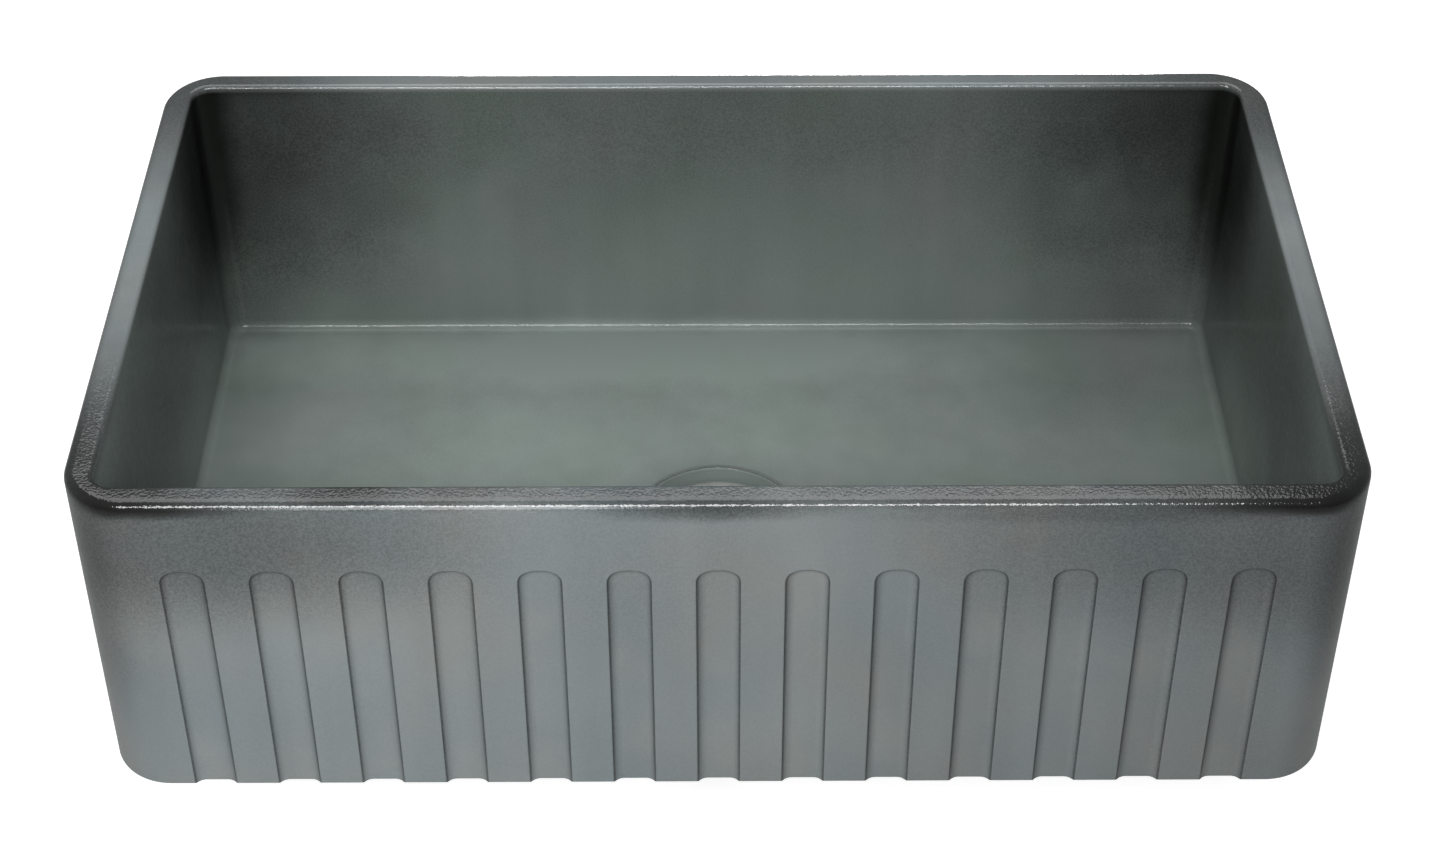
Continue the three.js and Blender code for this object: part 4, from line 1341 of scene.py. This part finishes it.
def glaze_colour(tree, place, lightness, inside, on_rim):
    """Charcoal where there is no lightness, and grey of changing tone at the palest."""
    from_front = add(
        tree, "ShaderNodeMapRange", values={"To Min": TONE_ON_APRON, "To Max": TONE_IN_BOWL},
        links={"Value": inside},
    )
    greenish = add(
        tree, "ShaderNodeMix", values={"B": TONE_ON_RIM},
        links={"Factor": on_rim, "A": from_front.outputs["Result"]},
    )
    tone = add(
        tree, "ShaderNodeMath", {"operation": "ADD"},
        links={
            0: greenish.outputs["Result"],
            1: spread(tree, place, TONE_PATCH_SIZE, TONE_PATCHES, 3),
        },
    )
    pale = add(
        tree, "ShaderNodeValToRGB", links={"Fac": tone.outputs["Value"]},
        stops=[(share, linear(colour)) for share, colour in GLAZE_TONES],
    )
    share = add(tree, "ShaderNodeMath", {"operation": "DIVIDE"}, {1: PALEST}, {0: lightness})
    return add(
        tree, "ShaderNodeMix", {"data_type": "RGBA"}, {6: linear(THIN_GLAZE_AND_SHADE)},
        {0: share.outputs["Value"], 7: pale.outputs["Color"]},
    ).outputs[2]


print("tones of the glaze:", len(GLAZE_TONES))

# %% [markdown]
# The skin of a sprayed glaze is never flat. It has a grain of fine pebbles, deeper where the glaze
# is thin and in the painted shade, and slow waves under it. One noise with both sizes would give them
# one height. So there are two bumps, each with its own, and one is laid on the other.

# %% Skin of the glaze
PEBBLE_SIZE = 1.9 * MM
PEBBLE_HEIGHT = 0.45 * MM
PEBBLES_THICK = 0.3
PEBBLES_THIN = 0.42
WAVE_SIZE = 38 * MM
WAVE_HEIGHT = 1.2 * MM
WAVE_STRENGTH = 0.5


def glaze_skin(tree, place, thin):
    """The normal of the pebbled skin on its slow waves."""
    skin, waves = [
        add(tree, "ShaderNodeTexNoise", values={"Scale": 1 / size, "Detail": 1}, links={"Vector": place})
        for size in (PEBBLE_SIZE, WAVE_SIZE)
    ]
    strength = add(
        tree, "ShaderNodeMapRange", values={"To Min": PEBBLES_THICK, "To Max": PEBBLES_THIN},
        links={"Value": thin},
    )
    pebbles = add(
        tree, "ShaderNodeBump", values={"Distance": PEBBLE_HEIGHT},
        links={"Strength": strength.outputs["Result"], "Height": skin.outputs["Fac"]},
    )
    return add(
        tree, "ShaderNodeBump", values={"Strength": WAVE_STRENGTH, "Distance": WAVE_HEIGHT},
        links={"Height": waves.outputs["Fac"], "Normal": pebbles.outputs["Normal"]},
    ).outputs["Normal"]


print("pebbles:", PEBBLE_SIZE / MM, "mm, waves:", WAVE_SIZE / MM, "mm")

# %% [markdown]
# The glass in the glaze lies over its colour, so it is a clear coat. The colour under it is satin
# and mirrors hardly anything by itself. The coat mirrors more on the rim than below it, and that is
# what draws the bright line along the rim's round.

# %% The glaze
GLAZE_SURFACE = {"IOR": 1.5, "Specular IOR Level": 0.05, "Coat IOR": 1.58, "Coat Roughness": 0.09}
SATIN_SIZE = 6 * MM
SATIN = (0.44, 0.56)
COAT_BELOW_RIM = 0.4
COAT_ON_RIM = 0.9


def glazed_fireclay():
    """Satin glaze, sprayed and fired: soft clouds with painted light and shade, fine specks and a pebbled
    skin under a clear coat.
    """
    material, tree, shader = new_material("glazed_fireclay")
    place = add(tree, "ShaderNodeTexCoord").outputs["Object"]
    pushed, folded = pushed_places(tree, place)
    inside = rise(tree, pushed, "Y", FRONT + APRON_BLEND[0], FRONT + APRON_BLEND[1])
    on_rim = rise(tree, place, "Z", *RIM_BLEND)
    lightness = glaze_with_painted_light_and_shade(tree, place, pushed, folded, inside, on_rim)
    # thin is 1 on thin glaze and in the painted shade
    thin = thin_glaze_and_shade(tree, lightness)
    lightness = speckled(tree, place, lightness, thin)
    gloss = add(
        tree, "ShaderNodeMapRange", values={"To Min": COAT_BELOW_RIM, "To Max": COAT_ON_RIM},
        links={"Value": on_rim},
    )
    normal = glaze_skin(tree, place, thin)
    fill(tree, shader, GLAZE_SURFACE, {
        "Base Color": glaze_colour(tree, place, lightness, inside, on_rim),
        "Roughness": spread(tree, place, SATIN_SIZE, SATIN),
        "Coat Weight": gloss.outputs["Result"],
        "Normal": normal,
        "Coat Normal": normal,
    })
    return material


finish_of = {"glazed_fireclay": glazed_fireclay()}
print("nodes in the glaze:", len(finish_of["glazed_fireclay"].node_tree.nodes))

# %% [markdown]
# ## Metals, seals and plastics of the waste
#
# Turned and drawn metal carries fine rings round its axis from the tool. Those rings are a noise
# that is stretched round the drain: it changes quickly with the radius and height, and slowly with
# the angle. The rings are drawn a little wider apart than real ones, so that they show. The seals
# are moulded or pressed, so theirs is an even grain.

# %% Rings and grain
def rings(tree, pitch):
    """Noise drawn out round the drain's axis, with rings a real distance apart."""
    around = centred(tree, add(tree, "ShaderNodeTexCoord").outputs["Object"])
    split = add(tree, "ShaderNodeSeparateXYZ", links={"Vector": around})
    turn = add(
        tree, "ShaderNodeMath", {"operation": "ARCTAN2"},
        links={0: split.outputs["Y"], 1: split.outputs["X"]},
    )
    slow = add(
        tree, "ShaderNodeMath", {"operation": "MULTIPLY"}, {1: pitch}, {0: turn.outputs["Value"]}
    )
    wrapped = add(
        tree, "ShaderNodeCombineXYZ",
        links={"X": from_axis(tree, around), "Y": slow.outputs["Value"], "Z": split.outputs["Z"]},
    )
    return add(
        tree, "ShaderNodeTexNoise", values={"Scale": 1 / pitch, "Detail": 2},
        links={"Vector": wrapped.outputs["Vector"]},
    ).outputs["Fac"]


def grain(tree, size, detail=2):
    """Even noise with grains of a real size."""
    place = add(tree, "ShaderNodeTexCoord").outputs["Object"]
    return add(
        tree, "ShaderNodeTexNoise", values={"Scale": 1 / size, "Detail": detail}, links={"Vector": place}
    ).outputs["Fac"]


print("finishes still to make:", len(set(slot_of.values())) - len(finish_of))

# %% A finish
STAIN_LOW = 0.35
STAIN_HIGH = 0.65
PATTERN_STRENGTH = 0.5


def finish(name, colours, gloss, pattern, height, metallic=0, stain=14 * MM, ior=1.5):
    """A finish whose colour changes between two tones, with a pattern in its gloss and relief."""
    material, tree, shader = new_material(name)
    relief = pattern(tree)
    tones = add(
        tree, "ShaderNodeValToRGB", links={"Fac": grain(tree, stain, 3)},
        stops=[(STAIN_LOW, linear(colours[0])), (STAIN_HIGH, linear(colours[1]))],
    )
    rough = add(
        tree, "ShaderNodeMapRange",
        values={"From Min": NOISE_LOW, "From Max": NOISE_HIGH, "To Min": gloss[0], "To Max": gloss[1]},
        links={"Value": relief},
    )
    bump = add(
        tree, "ShaderNodeBump", values={"Strength": PATTERN_STRENGTH, "Distance": height},
        links={"Height": relief},
    )
    fill(tree, shader, {"Metallic": metallic} if metallic else {"Metallic": 0, "IOR": ior}, {
        "Base Color": tones.outputs["Color"],
        "Roughness": rough.outputs["Result"],
        "Normal": bump.outputs["Normal"],
    })
    print("finish:", name)
    return material


# %% [markdown]
# Each finish below is named by its slot in the record. Drawn steel is brushed in a lathe, so its
# light spreads over fine rings. Brass is left as turned and dulls in clouds. Chrome is smooth, with
# only faint smears. Zinc keeps the fine grain of its die.

# %% Metals
finish_of["satin_steel"] = finish(
    "satin_drawn_steel", colours=("#b4b5b3", "#c4c5c3"), gloss=(0.24, 0.42),
    pattern=lambda tree: rings(tree, 0.5 * MM), height=0.02 * MM, metallic=1,
)
finish_of["turned_brass"] = finish(
    "turned_brass", colours=("#a9854a", "#cfab68"), gloss=(0.2, 0.4),
    pattern=lambda tree: rings(tree, 0.6 * MM), height=0.03 * MM, metallic=1, stain=9 * MM,
)
finish_of["chromed_brass"] = finish(
    "chromed_brass", colours=("#cfd1d3", "#dcdddd"), gloss=(0.06, 0.16),
    pattern=lambda tree: grain(tree, 7 * MM), height=0.02 * MM, metallic=1,
)
finish_of["cast_zinc"] = finish(
    "die_cast_zinc", colours=("#8f908d", "#a5a6a3"), gloss=(0.42, 0.6),
    pattern=lambda tree: grain(tree, 0.8 * MM), height=0.08 * MM, metallic=1, stain=11 * MM,
)

# %% [markdown]
# Moulded rubber is matt, and so is putty, which is pressed in by hand and stays lumpy. The fibre
# washer is pressed from pulp, so it is dull and speckled. The soft washer is moulded in a milky
# polymer with a slight gloss.

# %% Seals and plastics
finish_of["black_rubber"] = finish(
    "moulded_black_rubber", colours=("#181818", "#262625"), gloss=(0.55, 0.75),
    pattern=lambda tree: grain(tree, 0.7 * MM), height=0.05 * MM,
)
finish_of["sealing_putty"] = finish(
    "sealing_putty", colours=("#cfc8b4", "#ddd7c6"), gloss=(0.6, 0.8),
    pattern=lambda tree: grain(tree, 2.5 * MM, 4), height=0.3 * MM, stain=6 * MM,
)
finish_of["pressed_fibre"] = finish(
    "pressed_fibre", colours=("#927649", "#b39767"), gloss=(0.75, 0.95),
    pattern=lambda tree: grain(tree, 0.5 * MM, 5), height=0.1 * MM, stain=2 * MM,
)
finish_of["white_polymer"] = finish(
    "moulded_white_polymer", colours=("#e2e1db", "#ecebe6"), gloss=(0.34, 0.46),
    pattern=lambda tree: grain(tree, 1.2 * MM), height=0.03 * MM, stain=20 * MM, ior=1.51,
)

# %% Every piece gets its finish
for node, piece in dressed.items():
    piece.data.materials.clear()
    piece.data.materials.append(finish_of[slot_of[node]])
print("pieces with a finish:", len(dressed), "finishes:", len(finish_of))

# %% [markdown]
# ## Floor
#
# The photograph's surround is pure white. A white floor would throw light up into the sink that the
# real picture doesn't have. So the floor is pale grey paint, and to the camera alone it also glows.
# That lifts it to white but leaves the sink's shadow on it, and far from the sink, where less light
# falls, it glows a little more. It lies under the drain, so the whole part can be seen from the
# side, and from below it is clear.

# %% Pale floor
FLOOR_SIZE = 14
FLOOR_GREY = 0.6
FLOOR_ROUGHNESS = 0.9
FLOOR_GLOW = 0.75
LIT_RADIUS = 1.6
WHITE_RADIUS = 3.2

bpy.ops.object.select_all(action="DESELECT")
bpy.ops.mesh.primitive_plane_add(size=FLOOR_SIZE, location=(0, 0, cad_box[0][2]))
floor = name_piece("pale_floor")
paint, tree, shader = new_material("pale_grey_paint")
away = add(
    tree, "ShaderNodeVectorMath", {"operation": "LENGTH"},
    links={0: add(tree, "ShaderNodeTexCoord").outputs["Object"]},
)
whiter = add(
    tree, "ShaderNodeMapRange",
    values={"From Min": LIT_RADIUS, "From Max": WHITE_RADIUS, "To Min": FLOOR_GLOW, "To Max": 1.0},
    links={"Value": away.outputs["Value"]},
)
ray = add(tree, "ShaderNodeLightPath")
glow = add(
    tree, "ShaderNodeMath", {"operation": "MULTIPLY"},
    links={0: ray.outputs["Is Camera Ray"], 1: whiter.outputs["Result"]},
)
fill(
    tree, shader,
    {"Base Color": grey(FLOOR_GREY), "Roughness": FLOOR_ROUGHNESS, "Emission Color": grey(1)},
    {"Emission Strength": glow.outputs["Value"]},
)
clear = add(tree, "ShaderNodeBsdfTransparent")
side = add(tree, "ShaderNodeNewGeometry")
one_sided = add(
    tree, "ShaderNodeMixShader",
    links={0: side.outputs["Backfacing"], 1: shader.outputs["BSDF"], 2: clear.outputs["BSDF"]},
)
fill(tree, tree.nodes["Material Output"], links={"Surface": one_sided.outputs["Shader"]})
floor.data.materials.append(paint)
print(f"floor at z {cad_box[0][2]:.3f} m")

# %% [markdown]
# ## Light
#
# The picture was taken in soft studio light. One big lamp would light everything evenly and lose
# the lines that tell the shape. So there are four. A wide lamp beside the camera is mirrored in the
# rim's round as a bright line. A big softbox above lights the floor of the bowl and the flat rim. A
# small lamp near the apron picks out the flutes. The last one lights only the back, and it is lower
# than the rim, so nothing in the bowl mirrors it.

# %% Lamps
def soft_lamp(name, place, aim, size, energy):
    """A rectangular lamp at a place, turned to shine at a point."""
    bpy.ops.object.light_add(type="AREA", location=place)
    lamp = bpy.context.object
    lamp.name = name
    lamp.rotation_euler = (Vector(aim) - Vector(place)).to_track_quat("-Z", "Y").to_euler()
    lamp.data.shape = "RECTANGLE"
    lamp.data.size, lamp.data.size_y = size
    lamp.data.energy = energy
    lamp.visible_camera = False
    print(f"{name}: {energy} W")


soft_lamp("rim_light", (-0.18, -1.62, 1.58), aim=(-0.08, -0.25, 0.2), size=(1.55, 0.42), energy=30)
soft_lamp("overhead_softbox", (-0.15, 0.6, 1.86), aim=(-0.1, -0.25, 0.25), size=(1.8, 1.4), energy=18)
soft_lamp("flute_light", (-0.22, -0.68, 0.44), aim=(-0.22, -0.25, 0.12), size=(0.3, 0.3), energy=1.7)
soft_lamp("back_light", (0.1, 1.6, 0.06), aim=(0, 0.25, 0.1), size=(0.9, 0.3), energy=14)

# %% [markdown]
# The surround is white to the camera too, but gives only a little light, or the sink's shadows
# would fill up. The colours are shown as they are, without a film's curve, so that a strength of 1
# is white.

# %% White surround
AMBIENT = 0.15

world = bpy.data.worlds.new("white_surround")
bpy.context.scene.world = world
world.use_nodes = True
sky = world.node_tree
ray = add(sky, "ShaderNodeLightPath")
strength = add(
    sky, "ShaderNodeMapRange", values={"To Min": AMBIENT, "To Max": 1.0},
    links={"Value": ray.outputs["Is Camera Ray"]},
)
fill(sky, sky.nodes["Background"], {"Color": grey(1)}, {"Strength": strength.outputs["Result"]})
bpy.context.scene.view_settings.view_transform = "Standard"
print("surround's light:", AMBIENT)

# %% [markdown]
# ## Measure and finish
#
# A dressed piece that grew past its solid would no longer fit its neighbours, so the box round all
# dressed pieces should be the same as the box of the solids. Only the box of the solids is printed.

# %% Finish
print("cad box", cad_box)
